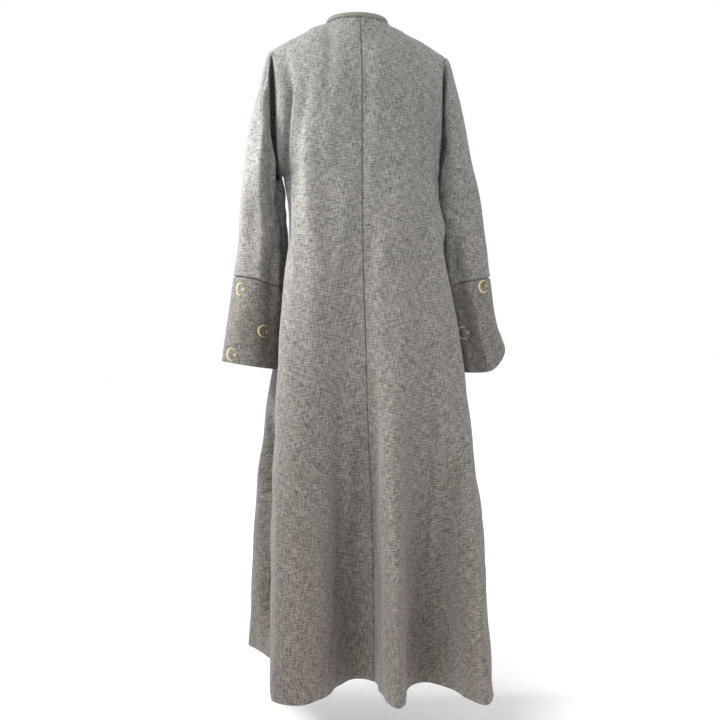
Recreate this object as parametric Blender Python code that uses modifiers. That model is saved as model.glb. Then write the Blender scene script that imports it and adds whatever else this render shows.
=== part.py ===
"""A floor-length kaftan with an open front, worn and hollow: four body panels, sleeves, cuffs and a neck band.

Metres, +Z up. The front faces -Y and the wearer's left is +X. The origin lies between the neck points,
level with the shoulders, which is where the wearer holds the garment up.
"""

import math

import bpy
import numpy as np

# Cloth
WALL = 0.002
SEAM_GAP = 0.0003
# Where the cloth bends at a seam the two walls lean together a little, so that they are trimmed more
ROUND_SEAM_TRIM = 0.0004
BENT_SEAM_TRIM = 0.0006
# A narrow strip beside each seam lies level with its neighbour, so that the two walls end face to face
SEAM_STRIP = 0.003

# Heights below the neck points
HEM_Z = -1.413
HIP_Z = -0.78
WAIST_Z = -0.47
UNDERARM_Z = -0.335

# Neck opening and band
NECK_HALF_WIDTH = 0.068
NECK_BACK_DEPTH = 0.072
NECK_FRONT_DEPTH = 0.078
NECK_BACK_DROP = 0.004
NECK_FRONT_DROP = 0.075
BAND_HEIGHT = 0.0085
BAND_UPRIGHT = 0.6
BAND_TRIM = 0.0008

# Front edges meet at the neck and hang a little apart at the hem
FRONT_GAP_AT_NECK = 0.0015

# Body sections that have no folds: depth of the back and front behind and before the side seams
CHEST_BACK_DEPTH = 0.118
CHEST_FRONT_DEPTH = 0.126
WAIST_BACK_DEPTH = 0.126
WAIST_FRONT_DEPTH = 0.130

# Armholes: half the depth of the loop from front to back
ARMHOLE_HALF_DEPTH = 0.050

# How far the seams lie out from the middle, for the wearer's left and right. At the waist the side seam
# lies in a shallow hollow under the arm, and the back is widest a little behind it.
SIDE_COLUMNS = ("sign", "tip_x", "tip_z", "scye_x", "underarm_x", "waist_seam_x", "waist_back_x")
SIDES = {
    "left": (1, 0.187, -0.062, 0.180, 0.160, 0.143, 0.156),
    "right": (-1, 0.197, -0.064, 0.183, 0.168, 0.170, 0.181),
}

# The folds of each panel from its centre edge to its side seam: where each line lies at the hem and the hip,
# and how many columns follow it
FOLD_COLUMNS = ("line", "steps", "hem_x", "hem_y", "hip_x", "hip_y")
BACK_LEFT_FOLDS = (
    ("centre seam", 2, -0.016, 0.113, -0.003, 0.139),
    ("first valley", 2, 0.012, 0.091, 0.020, 0.129),
    ("wide fold, foot", 2, 0.048, 0.119, 0.056, 0.129),
    ("wide fold, inner slope", 2, 0.082, 0.185, 0.093, 0.138),
    ("wide fold, crest", 3, 0.138, 0.231, 0.138, 0.137),
    ("wide fold, turn", 1, 0.183, 0.205, 0.165, 0.121),
    ("wide fold, edge", 2, 0.194, 0.162, 0.177, 0.090),
    ("side valley, slope", 2, 0.184, 0.085, 0.169, 0.044),
    ("side seam", 0, 0.168, 0.018, 0.158, 0.002),
)
BACK_RIGHT_FOLDS = (
    ("centre seam", 1, -0.016, 0.113, -0.003, 0.139),
    ("narrow fold, foot", 2, -0.030, 0.160, -0.020, 0.146),
    ("narrow fold, inner edge", 2, -0.035, 0.232, -0.034, 0.156),
    ("narrow fold, crest", 2, -0.053, 0.266, -0.055, 0.163),
    ("narrow fold, outer edge", 2, -0.073, 0.232, -0.080, 0.161),
    ("narrow fold, outer foot", 1, -0.088, 0.158, -0.102, 0.149),
    ("second valley", 2, -0.126, 0.122, -0.136, 0.135),
    ("outer fold, foot", 1, -0.170, 0.154, -0.168, 0.134),
    ("outer fold, inner slope", 2, -0.198, 0.228, -0.192, 0.126),
    ("outer fold, crest", 2, -0.226, 0.265, -0.211, 0.112),
    ("outer fold, edge", 2, -0.253, 0.215, -0.226, 0.078),
    ("side valley, slope", 2, -0.245, 0.115, -0.219, 0.040),
    ("side seam", 0, -0.226, 0.018, -0.203, 0.002),
)
FRONT_LEFT_FOLDS = (
    ("front edge", 2, 0.007, -0.205, 0.002, -0.150),
    ("first valley", 3, 0.048, -0.184, 0.045, -0.143),
    ("inner fold, crest", 3, 0.104, -0.226, 0.094, -0.146),
    ("second valley", 3, 0.158, -0.192, 0.134, -0.128),
    ("outer fold, inner slope", 3, 0.203, -0.220, 0.165, -0.124),
    ("outer fold, crest", 2, 0.237, -0.190, 0.187, -0.100),
    ("outer fold, edge", 2, 0.212, -0.124, 0.180, -0.058),
    ("side valley, slope", 2, 0.180, -0.045, 0.165, -0.024),
    ("side seam", 0, 0.168, 0.018, 0.158, 0.002),
)
FRONT_RIGHT_FOLDS = (
    ("front edge", 2, -0.009, -0.206, -0.002, -0.150),
    ("first valley", 3, -0.054, -0.180, -0.048, -0.141),
    ("inner fold, crest", 3, -0.112, -0.229, -0.100, -0.146),
    ("second valley", 3, -0.167, -0.188, -0.145, -0.124),
    ("outer fold, inner slope", 3, -0.214, -0.214, -0.180, -0.117),
    ("outer fold, crest", 2, -0.247, -0.172, -0.203, -0.088),
    ("outer fold, edge", 2, -0.241, -0.100, -0.211, -0.048),
    ("side valley, slope", 2, -0.231, -0.035, -0.207, -0.022),
    ("side seam", 0, -0.226, 0.018, -0.203, 0.002),
)
# At the knee the skirt already has this share of its hem's width and of its folds' depth
KNEE_Z = -1.10
KNEE_WIDTH_SHARE = 0.78
KNEE_DEPTH_SHARE = 0.52
SHOULDER_STEPS = 8

# Rows of each panel: from hem to hip, hip to underarm, and underarm to shoulder
SKIRT_ROWS = 9
TRUNK_ROWS = 5
YOKE_ROWS = 11

# Sleeve sections by height: how far the outer and inner sides lie out from the middle, and front to back
SLEEVE_COLUMNS = ("z", "outer_x", "inner_x", "middle_y", "half_depth")
SLEEVES = {
    "left": (
        (-0.06, 0.186, 0.126, 0.002, 0.048),
        (-0.15, 0.218, 0.140, 0.002, 0.056),
        (-0.25, 0.239, 0.154, -0.001, 0.060),
        (-0.39, 0.254, 0.162, -0.008, 0.059),
        (-0.47, 0.261, 0.152, -0.016, 0.057),
        (-0.56, 0.271, 0.152, -0.020, 0.057),
        (-0.66, 0.286, 0.162, -0.023, 0.059),
        (-0.77, 0.299, 0.176, -0.026, 0.060),
    ),
    "right": (
        (-0.06, 0.202, 0.130, 0.002, 0.048),
        (-0.15, 0.226, 0.144, 0.002, 0.056),
        (-0.25, 0.246, 0.158, -0.001, 0.060),
        (-0.39, 0.276, 0.177, -0.005, 0.059),
        (-0.47, 0.288, 0.180, -0.009, 0.057),
        (-0.56, 0.301, 0.189, -0.012, 0.057),
        (-0.66, 0.319, 0.206, -0.014, 0.060),
        (-0.71, 0.335, 0.215, -0.015, 0.062),
        (-0.77, 0.342, 0.226, -0.015, 0.063),
    ),
}
CAP_LENGTH = 0.085
# How far the sleeve head runs on outwards from its seam before it turns down
SHOULDER_PULL = 0.036
UNDERARM_PULL = 0.012
CAP_ROWS = 4
SLEEVE_ROWS = 9

# Cuff seams and ends: the inner side's height, how much higher the outer side lies and how late the ring
# climbs to it, and how much higher the front lies
CUFF_COLUMNS = ("inner_z", "outer_rise", "lateness", "front_rise")
CUFF_SEAMS = {"left": (-0.581, 0.026, 1, 0.0), "right": (-0.577, 0.024, 1, 0.0)}
CUFF_ENDS = {"left": (-0.760, 0.018, 1, 0.004), "right": (-0.767, 0.056, 4, 0.008)}
CUFF_ROWS = 5

# Materials: colour, roughness
CLOTH_COLOUR = (0.27, 0.265, 0.25)
CUFF_COLOUR = (0.20, 0.185, 0.16)
BAND_COLOUR = (0.38, 0.36, 0.32)
CLOTH_ROUGHNESS = 0.9

# Shapes of the curves. The strip beside a seam is this share of a column wide
STRIP_SHARE = 0.2
# How the shoulder line and the neckline bend
SHOULDER_SLOPE_POWER = 1.18
NECKLINE_POWER = 1.5
# How full a section is, how its columns gather at the side, and how evenly they lie at the waist
SECTION_FULLNESS = 0.85
COLUMN_CROWDING = 1.1
WAIST_EVENNESS = 0.6
# How much of a quarter turn is left of a section at the armhole, and the rise over which the rest goes
ARMHOLE_TURN = 0.62
ARMHOLE_TURN_RISE = 1 / 3
# Rises at which the armhole's edge is nearest the middle, and by how much at the first of them
SCYE_RISES = (0.25, 0.6)
SCYE_HOLLOW = 0.004
# How late the yoke turns over to the shoulder, how rounded it is there, and how near an edge it changes
DOME_POWER = 2.2
SHOULDER_ROUNDING = 0.5
EDGE_POWER = 3
# Under the arm the sleeve leaves the body level with a slight fall, over this share of the armhole's rise
UNDERARM_SPAN = 0.3
UNDERARM_FALL = 0.2
# The cap is shorter under the arm
UNDERARM_CAP_SHARE = 0.6


def named_rows(columns, table):
    return [dict(zip(columns, row)) for row in table]


def mix(first, second, share):
    return first + (second - first) * share


def smooth_step(value):
    value = np.clip(value, 0.0, 1.0)
    return value * value * (3 - 2 * value)


def monotone_curve(knots, values, where):
    """A smooth curve through values at rising knots that never swings past them. Values may be points."""
    knots = np.asarray(knots, float)
    values = np.asarray(values, float)
    shape = (-1,) + (1,) * (values.ndim - 1)
    widths = np.diff(knots).reshape(shape)
    slopes = np.diff(values, axis=0) / widths
    tangents = np.empty_like(values)
    tangents[0], tangents[-1] = slopes[0], slopes[-1]
    before, after = slopes[:-1], slopes[1:]
    same_way = before * after > 0
    total = np.where(same_way, before + after, 1.0)
    tangents[1:-1] = np.where(same_way, 2 * before * after / total, 0.0)
    where = np.clip(where, knots[0], knots[-1])
    index = np.clip(np.searchsorted(knots, where, side="right") - 1, 0, len(knots) - 2)
    width = widths[index]
    share = (where - knots[index]).reshape(shape) / width
    start_tangent, end_tangent = tangents[index] * width, tangents[index + 1] * width
    return hermite(values[index], start_tangent, values[index + 1], end_tangent, share)


def hermite(start, start_tangent, end, end_tangent, share):
    square, cube = share * share, share * share * share
    return (
        (2 * cube - 3 * square + 1) * start
        + (cube - 2 * square + share) * start_tangent
        + (3 * square - 2 * cube) * end
        + (cube - square) * end_tangent
    )


def round_curve(opening, points, steps, closing, columns):
    """A smooth curve through the points of a section, read at the given columns.

    steps says how many columns lie between two points. opening and closing are the points before the first
    and past the last, which set the direction at the panel's two seams.
    """
    points = np.vstack([opening, points, closing])
    lengths = np.sqrt(np.linalg.norm(np.diff(points, axis=0), axis=1))
    slopes = np.diff(points, axis=0) / lengths[:, None]
    before, after = lengths[:-1, None], lengths[1:, None]
    tangents = (slopes[:-1] * after + slopes[1:] * before) / (before + after)
    starts = np.concatenate([[0], np.cumsum(steps)])
    index = np.clip(np.searchsorted(starts, columns, side="right") - 1, 0, len(steps) - 1)
    share = ((columns - starts[index]) / np.asarray(steps)[index])[:, None]
    width = lengths[index + 1][:, None]
    start_tangent, end_tangent = tangents[index] * width, tangents[index + 1] * width
    return hermite(points[index + 1], start_tangent, points[index + 2], end_tangent, share)


def with_strips(places, start_share, end_share):
    """Adds a place just inside the first and the last of a rising row of places."""
    added = []
    if start_share:
        added.append(mix(places[0], places[1], start_share))
    if end_share:
        added.append(mix(places[-1], places[-2], end_share))
    return np.sort(np.concatenate([places, added]))


class Panel:
    """One body panel as a grid of points: rows from hem to shoulder, columns from its centre edge to its side."""

    def __init__(self, side, is_back, folds, across_centre, across_side):
        self.side = dict(zip(SIDE_COLUMNS, SIDES[side]))
        self.sign = self.side["sign"]
        self.facing = 1 if is_back else -1
        folds = named_rows(FOLD_COLUMNS, folds)
        steps = [row["steps"] for row in folds[:-1]]
        self.columns = with_strips(np.arange(sum(steps) + 1.0), STRIP_SHARE, STRIP_SHARE)
        self.hem, self.hip = (
            self.fold_section(place, folds, steps, across_centre, across_side) for place in ("hem", "hip")
        )
        self.set_shares(sum(steps))
        self.grid = self.lower_grid()
        self.armhole_heights = with_strips(np.linspace(0, 1, YOKE_ROWS + 1), 0, STRIP_SHARE)
        self.grid = np.concatenate([self.grid, self.upper_rows(self.armhole_heights)])
        self.underarm_row = len(self.grid) - len(self.armhole_heights)

    def fold_section(self, place, folds, steps, across_centre, across_side):
        def point(row):
            return np.array([row[place + "_x"], row[place + "_y"]])

        points = np.array([point(row) for row in folds])
        closing = point(dict(zip(FOLD_COLUMNS, across_side)))
        if across_centre is None:
            opening = 2 * points[0] - points[1]
        else:
            opening = point(dict(zip(FOLD_COLUMNS, across_centre)))
        return round_curve(opening, points, steps, closing, self.columns)

    def set_shares(self, total):
        """Where each column reaches the neckline or the shoulder, and its share of the way round below."""
        neck_steps = total - SHOULDER_STEPS
        self.neck_share = np.clip(self.columns / neck_steps, 0, 1)
        self.shoulder_share = np.clip((self.columns - neck_steps) / SHOULDER_STEPS, 0, 1)
        angle = self.neck_share * math.pi / 2
        depth, drop = (
            (NECK_BACK_DEPTH, NECK_BACK_DROP) if self.facing > 0 else (NECK_FRONT_DEPTH, NECK_FRONT_DROP)
        )
        tip_x, tip_z = self.side["tip_x"], self.side["tip_z"]
        centre_x = 0 if self.facing > 0 else FRONT_GAP_AT_NECK
        neck_x = mix(centre_x, NECK_HALF_WIDTH, np.sin(angle))
        top_x = mix(neck_x, tip_x, self.shoulder_share)
        top_y = self.facing * depth * np.cos(angle)
        neck_z = -drop * np.cos(angle) ** NECKLINE_POWER
        top_z = neck_z + tip_z * self.shoulder_share**SHOULDER_SLOPE_POWER
        self.top = np.stack([self.sign * top_x, top_y, top_z], axis=1)
        self.spread = top_x / tip_x
        self.upper_share = (self.columns / total) ** COLUMN_CROWDING
        steps = np.linalg.norm(np.diff(self.hip, axis=0), axis=1)
        travelled = np.concatenate([[0.0], np.cumsum(steps)])
        hip_share = travelled / travelled[-1]
        self.waist_share = mix(hip_share, self.upper_share, WAIST_EVENNESS)

    def plain_section(self, share, half_width, seam_x, depth):
        """A quarter of a round section with no folds, which turns in again to the side seam if that is nearer."""
        angle = share * (math.pi - math.asin(seam_x / half_width))
        centre_x = 0 if self.facing > 0 else FRONT_GAP_AT_NECK
        x = self.sign * mix(centre_x, half_width, np.sin(angle))
        y = self.facing * depth * np.cos(share * math.pi / 2) ** SECTION_FULLNESS
        return np.stack([x, y], axis=1)

    def lower_grid(self):
        """Rows from the hem to just below the underarm, each column a smooth curve through its sections."""
        chest_depth, waist_depth = (
            (CHEST_BACK_DEPTH, WAIST_BACK_DEPTH)
            if self.facing > 0
            else (CHEST_FRONT_DEPTH, WAIST_FRONT_DEPTH)
        )
        underarm_x, seam_x = self.side["underarm_x"], self.side["waist_seam_x"]
        widest_x = self.side["waist_back_x"] if self.facing > 0 else seam_x
        waist = self.plain_section(self.waist_share, widest_x, seam_x, waist_depth)
        chest = self.plain_section(self.upper_share, underarm_x, underarm_x, chest_depth)
        knee = mix(self.hip, self.hem, np.array([KNEE_WIDTH_SHARE, KNEE_DEPTH_SHARE]))
        knots = (HEM_Z, KNEE_Z, HIP_Z, WAIST_Z, UNDERARM_Z)
        heights = np.concatenate(
            [
                np.linspace(HEM_Z, HIP_Z, SKIRT_ROWS, endpoint=False),
                np.linspace(HIP_Z, UNDERARM_Z, TRUNK_ROWS, endpoint=False),
            ]
        )
        flat = monotone_curve(knots, [self.hem, knee, self.hip, waist, chest], heights)
        tall = np.broadcast_to(heights[:, None, None], flat.shape[:2] + (1,))
        return np.concatenate([flat, tall], axis=2)

    def armhole(self, rise):
        """The armhole's edge, from the underarm at a rise of 0 to the shoulder tip at 1."""
        side = self.side
        turn = rise * math.pi
        places = (side["underarm_x"], side["scye_x"] - SCYE_HOLLOW, side["scye_x"], side["tip_x"])
        x = monotone_curve((0, *SCYE_RISES, 1), places, rise)
        y = self.facing * ARMHOLE_HALF_DEPTH * np.sin(turn)
        z = mix(UNDERARM_Z, side["tip_z"], (1 - np.cos(turn)) / 2)
        return np.stack([self.sign * x, y, z], axis=-1)

    def upper_rows(self, rises):
        """Rows from the underarm to the neckline and the shoulder seam."""
        chest_depth = CHEST_BACK_DEPTH if self.facing > 0 else CHEST_FRONT_DEPTH
        centre_x = 0 if self.facing > 0 else FRONT_GAP_AT_NECK
        on_shoulder = self.neck_share**EDGE_POWER
        near_edge = (self.columns / self.columns[-1]) ** EDGE_POWER
        share = self.upper_share
        rows = []
        for rise in rises:
            edge = self.armhole(np.array([rise]))[0]
            turn = mix(1.0, ARMHOLE_TURN, smooth_step(rise / ARMHOLE_TURN_RISE)) * math.pi / 2
            round_x = np.sin(turn * share) / math.sin(turn)
            round_y = (np.cos(turn * share) - math.cos(turn)) / (1 - math.cos(turn))
            round_y = np.clip(round_y, 0, 1) ** SECTION_FULLNESS
            section_x = mix(self.sign * centre_x, edge[0], round_x)
            inner_y = self.facing * ARMHOLE_HALF_DEPTH * math.sin(rise * math.pi) ** 2
            edge_y = mix(inner_y, edge[1], near_edge)
            section_y = mix(edge_y, self.facing * chest_depth, round_y)
            climb = mix(rise, math.sin(rise * math.pi / 2), on_shoulder)
            climb = mix(climb, (1 - math.cos(rise * math.pi)) / 2, near_edge)
            dome = np.clip(1 - climb**DOME_POWER, 0, 1) ** mix(1.0, SHOULDER_ROUNDING, on_shoulder)
            x = mix(section_x, edge[0] * self.spread, climb**EDGE_POWER)
            y = edge_y + (section_y - edge_y) * dome + self.top[:, 1] * (1 - dome)
            z = mix(UNDERARM_Z, self.top[:, 2], climb)
            rows.append(np.stack([x, y, z], axis=1))
        rows = np.array(rows)
        rows[:, -1] = self.armhole(rises)
        return rows

    def armhole_loop(self):
        """The armhole's points from the underarm up, and the direction in which the cloth runs on from it."""
        edge = self.grid[self.underarm_row :, -1]
        inside = self.grid[self.underarm_row :, -2]
        outward = (edge - inside) / np.linalg.norm(edge - inside, axis=1)[:, None]
        below_arm = np.array([self.sign, 0.0, -UNDERARM_FALL])
        share = smooth_step(self.armhole_heights / UNDERARM_SPAN)[:, None]
        outward = mix(below_arm / np.linalg.norm(below_arm), outward, share)
        return edge, outward / np.linalg.norm(outward, axis=1)[:, None]

    def trimmed(self):
        """The grid with its share of the gap taken off each sewn edge."""
        grid = self.grid.copy()
        drawn_in(grid[:, 0], self.grid[:, 1], SEAM_GAP / 2)
        drawn_in(grid[:, -1], self.grid[:, -2], ROUND_SEAM_TRIM)
        drawn_in(grid[-1], grid[-2], ROUND_SEAM_TRIM)
        return grid


def drawn_in(edge, inside, distance):
    way = inside - edge
    edge += way / np.linalg.norm(way, axis=1)[:, None] * distance


def sleeve_section(rows, angle, z):
    """Points of the sleeve tube: at an angle of 0 on its outer side, and a quarter turn on at the back."""
    heights = [-row["z"] for row in rows]

    def value(column):
        return monotone_curve(heights, [row[column] for row in rows], -z)

    outer, inner = value("outer_x"), value("inner_x")
    x = (outer + inner) / 2 + (outer - inner) / 2 * np.cos(angle)
    y = value("middle_y") + value("half_depth") * np.sin(angle)
    return x, y


class Sleeve:
    """A sleeve with its cuff: the armhole's loop, a cap that turns down from it, and a tube to the wrist."""

    def __init__(self, side, back, front):
        self.sign = back.sign
        self.rows = named_rows(SLEEVE_COLUMNS, SLEEVES[side])
        self.seam = dict(zip(CUFF_COLUMNS, CUFF_SEAMS[side]))
        self.end = dict(zip(CUFF_COLUMNS, CUFF_ENDS[side]))
        back_edge, back_way = back.armhole_loop()
        front_edge, front_way = front.armhole_loop()
        self.loop = np.concatenate([back_edge, front_edge[-2:0:-1]])
        self.way = np.concatenate([back_way, front_way[-2:0:-1]])
        rises = back.armhole_heights
        self.angle = np.concatenate([math.pi * (1 - rises), -math.pi * (1 - rises[-2:0:-1])])
        self.top_share = (1 + np.cos(self.angle)) / 2

    def tube(self, z):
        x, y = sleeve_section(self.rows, self.angle, z)
        return np.stack([self.sign * x, y, z], axis=1)

    def ring_height(self, ring):
        rise = ring["outer_rise"] * self.top_share ** ring["lateness"]
        return ring["inner_z"] + rise + ring["front_rise"] * (1 - np.sin(self.angle)) / 2

    def sleeve_grid(self):
        rings = [
            self.loop + self.way * BENT_SEAM_TRIM,
            self.loop + self.way * SEAM_STRIP,
        ]
        drop = mix(UNDERARM_CAP_SHARE, 1.0, self.top_share) * CAP_LENGTH
        cap_end = self.loop[:, 2] - drop
        end = self.tube(cap_end)
        end_way = (self.tube(cap_end - SEAM_STRIP) - end) / SEAM_STRIP
        pull = mix(UNDERARM_PULL, SHOULDER_PULL, self.top_share)[:, None]
        for k in range(1, CAP_ROWS + 1):
            rings.append(hermite(rings[1], self.way * pull, end, end_way * drop[:, None], k / CAP_ROWS))
        seam = self.ring_height(self.seam)
        for k in range(1, SLEEVE_ROWS + 1):
            rings.append(self.tube(mix(cap_end, seam, k / SLEEVE_ROWS)))
        rings[-1] = self.tube(seam + SEAM_GAP / 2)
        return np.array(rings)

    def cuff_grid(self):
        seam = self.ring_height(self.seam) - SEAM_GAP / 2
        end = self.ring_height(self.end)
        return np.array([self.tube(mix(seam, end, k / CUFF_ROWS)) for k in range(CUFF_ROWS + 1)])


def neck_band_grid(panels):
    """The band's rings: each panel's neckline in turn, carried on upwards along the cloth."""
    lower, upper = [], []
    for panel, reverse in panels:
        on_neck = panel.columns <= panel.columns[-1] - SHOULDER_STEPS
        edge = panel.grid[-1][on_neck]
        way = edge - panel.grid[-2][on_neck]
        way = mix(way / np.linalg.norm(way, axis=1)[:, None], np.array([0, 0, 1]), BAND_UPRIGHT)
        way /= np.linalg.norm(way, axis=1)[:, None]
        if reverse:
            edge, way = edge[::-1], way[::-1]
        start = 1 if lower else 0
        lower.extend((edge + way * BAND_TRIM)[start:])
        upper.extend((edge + way * BAND_HEIGHT)[start:])
    return np.array([lower, upper])


def grid_object(name, grid, material, collection, closed=False, flipped=False):
    """A wall of cloth: the grid as an open surface, which Solidify thickens inwards."""
    rows, columns = grid.shape[:2]
    mesh = bpy.data.meshes.new(name)
    faces = []
    for r in range(rows - 1):
        for c in range(columns if closed else columns - 1):
            across = (c + 1) % columns
            below, above = r * columns, (r + 1) * columns
            corners = (below + c, below + across, above + across, above + c)
            faces.append(corners[::-1] if flipped else corners)
    mesh.from_pydata(grid.reshape(-1, 3).tolist(), [], faces)
    mesh.shade_smooth()
    mesh.materials.append(material)
    obj = bpy.data.objects.new(name, mesh)
    collection.objects.link(obj)
    wall = obj.modifiers.new("Wall", "SOLIDIFY")
    wall.thickness = WALL
    wall.offset = -1
    return obj


def cloth(name, colour):
    material = bpy.data.materials.new(name)
    material.use_nodes = True
    shader = material.node_tree.nodes["Principled BSDF"]
    shader.inputs["Base Color"].default_value = (*colour, 1)
    shader.inputs["Roughness"].default_value = CLOTH_ROUGHNESS
    return material


def main():
    for obj in list(bpy.data.objects):
        bpy.data.objects.remove(obj)
    collection = bpy.data.collections.new("kaftan")
    bpy.context.scene.collection.children.link(collection)
    body = cloth("body_cloth", CLOTH_COLOUR)
    border = cloth("cuff_cloth", CUFF_COLOUR)
    band = cloth("band_cloth", BAND_COLOUR)

    back_left = Panel("left", True, BACK_LEFT_FOLDS, BACK_RIGHT_FOLDS[1], FRONT_LEFT_FOLDS[-2])
    back_right = Panel("right", True, BACK_RIGHT_FOLDS, BACK_LEFT_FOLDS[1], FRONT_RIGHT_FOLDS[-2])
    front_left = Panel("left", False, FRONT_LEFT_FOLDS, None, BACK_LEFT_FOLDS[-2])
    front_right = Panel("right", False, FRONT_RIGHT_FOLDS, None, BACK_RIGHT_FOLDS[-2])
    panels = {
        "back_left": back_left,
        "back_right": back_right,
        "front_left": front_left,
        "front_right": front_right,
    }
    for name, panel in panels.items():
        grid_object(name, panel.trimmed(), body, collection, flipped=panel.sign == panel.facing)
    for side, back, front in (("left", back_left, front_left), ("right", back_right, front_right)):
        sleeve = Sleeve(side, back, front)
        inside_out = side == "right"
        grid_object("sleeve_" + side, sleeve.sleeve_grid(), body, collection, True, inside_out)
        grid_object("cuff_" + side, sleeve.cuff_grid(), border, collection, True, inside_out)
    around = ((front_left, False), (back_left, True), (back_right, False), (front_right, True))
    grid_object("neck_band", neck_band_grid(around), band, collection)


main()
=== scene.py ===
"""A worn kaftan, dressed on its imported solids: cloth shells, folds, seams, stitching and embroidered cuffs.

Metres, +Z up. The front faces -Y and the wearer's left is +X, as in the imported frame.
"""

import functools
import itertools
import math

import bpy
import numpy as np
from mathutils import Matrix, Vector


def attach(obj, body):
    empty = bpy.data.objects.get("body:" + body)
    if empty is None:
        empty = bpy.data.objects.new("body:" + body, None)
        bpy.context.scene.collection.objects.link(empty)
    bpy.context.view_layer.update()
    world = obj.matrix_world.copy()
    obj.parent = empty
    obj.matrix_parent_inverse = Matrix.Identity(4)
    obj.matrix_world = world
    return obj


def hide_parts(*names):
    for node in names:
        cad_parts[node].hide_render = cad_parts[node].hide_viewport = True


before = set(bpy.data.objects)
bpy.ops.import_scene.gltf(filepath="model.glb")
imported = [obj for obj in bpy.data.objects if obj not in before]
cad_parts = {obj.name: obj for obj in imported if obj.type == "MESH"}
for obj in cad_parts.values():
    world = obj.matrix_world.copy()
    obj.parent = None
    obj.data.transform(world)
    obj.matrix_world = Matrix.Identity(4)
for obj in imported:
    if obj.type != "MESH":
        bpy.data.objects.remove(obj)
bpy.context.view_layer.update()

bl_info = {
    "name": "Kaftan",
    "version": (1, 0, 0),
    "blender": (4, 5, 0),
    "location": "3D View > Sidebar > Kaftan",
    "description": "Makes a long open kaftan with embroidered cuffs on its packed solids",
    "category": "Add Mesh",
}

# Heights below the neck points
HEM_Z = -1.413
HIP_Z = -0.78
WAIST_Z = -0.47
UNDERARM_Z = -0.335

# Neck opening: half its width
NECK_HALF_WIDTH = 0.068
# The back and the front: which way they face, how far that way the neckline's middle lies and how far it
# drops, how far that way the chest and the waist lie without folds, and how far the centre edge stands from
# the middle above the hip
PART_COLUMNS = ("facing", "neck_depth", "neck_drop", "chest_depth", "waist_depth", "centre_x")
PARTS = {
    "back": (1, 0.072, 0.004, 0.118, 0.126, 0.0),
    "front": (-1, 0.078, 0.075, 0.126, 0.130, 0.0015),
}

# Armholes: half the depth of the loop from front to back
ARMHOLE_HALF_DEPTH = 0.050

# The wearer's left and right side, in metres out from the middle: the shoulder tip and its height, the
# armhole, the underarm, and at the waist the side seam, in a hollow, and the back's widest place behind it
SIDE_COLUMNS = ("sign", "tip_x", "tip_z", "scye_x", "underarm_x", "waist_seam_x", "waist_back_x")
SIDES = {
    "left": (1, 0.187, -0.062, 0.180, 0.160, 0.143, 0.156),
    "right": (-1, 0.197, -0.064, 0.183, 0.168, 0.170, 0.181),
}

# The folds of each panel from its centre edge to its side seam: each line's name, the steps to the next
# line, and where it lies at the hem and the hip
FOLD_COLUMNS = ("line", "steps", "hem_x", "hem_y", "hip_x", "hip_y")
FOLDS = {
    "back_left": (
        ("centre seam", 2, -0.016, 0.113, -0.003, 0.139),
        ("first valley", 2, 0.012, 0.091, 0.020, 0.129),
        ("wide fold, foot", 2, 0.048, 0.119, 0.056, 0.129),
        ("wide fold, inner slope", 2, 0.082, 0.185, 0.093, 0.138),
        ("wide fold, crest", 3, 0.138, 0.231, 0.138, 0.137),
        ("wide fold, turn", 1, 0.183, 0.205, 0.165, 0.121),
        ("wide fold, edge", 2, 0.194, 0.162, 0.177, 0.090),
        ("side valley, slope", 2, 0.184, 0.085, 0.169, 0.044),
        ("side seam", 0, 0.168, 0.018, 0.158, 0.002),
    ),
    "back_right": (
        ("centre seam", 1, -0.016, 0.113, -0.003, 0.139),
        ("narrow fold, foot", 2, -0.030, 0.160, -0.020, 0.146),
        ("narrow fold, inner edge", 2, -0.035, 0.232, -0.034, 0.156),
        ("narrow fold, crest", 2, -0.053, 0.266, -0.055, 0.163),
        ("narrow fold, outer edge", 2, -0.073, 0.232, -0.080, 0.161),
        ("narrow fold, outer foot", 1, -0.088, 0.158, -0.102, 0.149),
        ("second valley", 2, -0.126, 0.122, -0.136, 0.135),
        ("outer fold, foot", 1, -0.170, 0.154, -0.168, 0.134),
        ("outer fold, inner slope", 2, -0.198, 0.228, -0.192, 0.126),
        ("outer fold, crest", 2, -0.226, 0.265, -0.211, 0.112),
        ("outer fold, edge", 2, -0.253, 0.215, -0.226, 0.078),
        ("side valley, slope", 2, -0.245, 0.115, -0.219, 0.040),
        ("side seam", 0, -0.226, 0.018, -0.203, 0.002),
    ),
    "front_left": (
        ("front edge", 2, 0.007, -0.205, 0.002, -0.150),
        ("first valley", 3, 0.048, -0.184, 0.045, -0.143),
        ("inner fold, crest", 3, 0.104, -0.226, 0.094, -0.146),
        ("second valley", 3, 0.158, -0.192, 0.134, -0.128),
        ("outer fold, inner slope", 3, 0.203, -0.220, 0.165, -0.124),
        ("outer fold, crest", 2, 0.237, -0.190, 0.187, -0.100),
        ("outer fold, edge", 2, 0.212, -0.124, 0.180, -0.058),
        ("side valley, slope", 2, 0.180, -0.045, 0.165, -0.024),
        ("side seam", 0, 0.168, 0.018, 0.158, 0.002),
    ),
    "front_right": (
        ("front edge", 2, -0.009, -0.206, -0.002, -0.150),
        ("first valley", 3, -0.054, -0.180, -0.048, -0.141),
        ("inner fold, crest", 3, -0.112, -0.229, -0.100, -0.146),
        ("second valley", 3, -0.167, -0.188, -0.145, -0.124),
        ("outer fold, inner slope", 3, -0.214, -0.214, -0.180, -0.117),
        ("outer fold, crest", 2, -0.247, -0.172, -0.203, -0.088),
        ("outer fold, edge", 2, -0.241, -0.100, -0.211, -0.048),
        ("side valley, slope", 2, -0.231, -0.035, -0.207, -0.022),
        ("side seam", 0, -0.226, 0.018, -0.203, 0.002),
    ),
}
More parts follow.
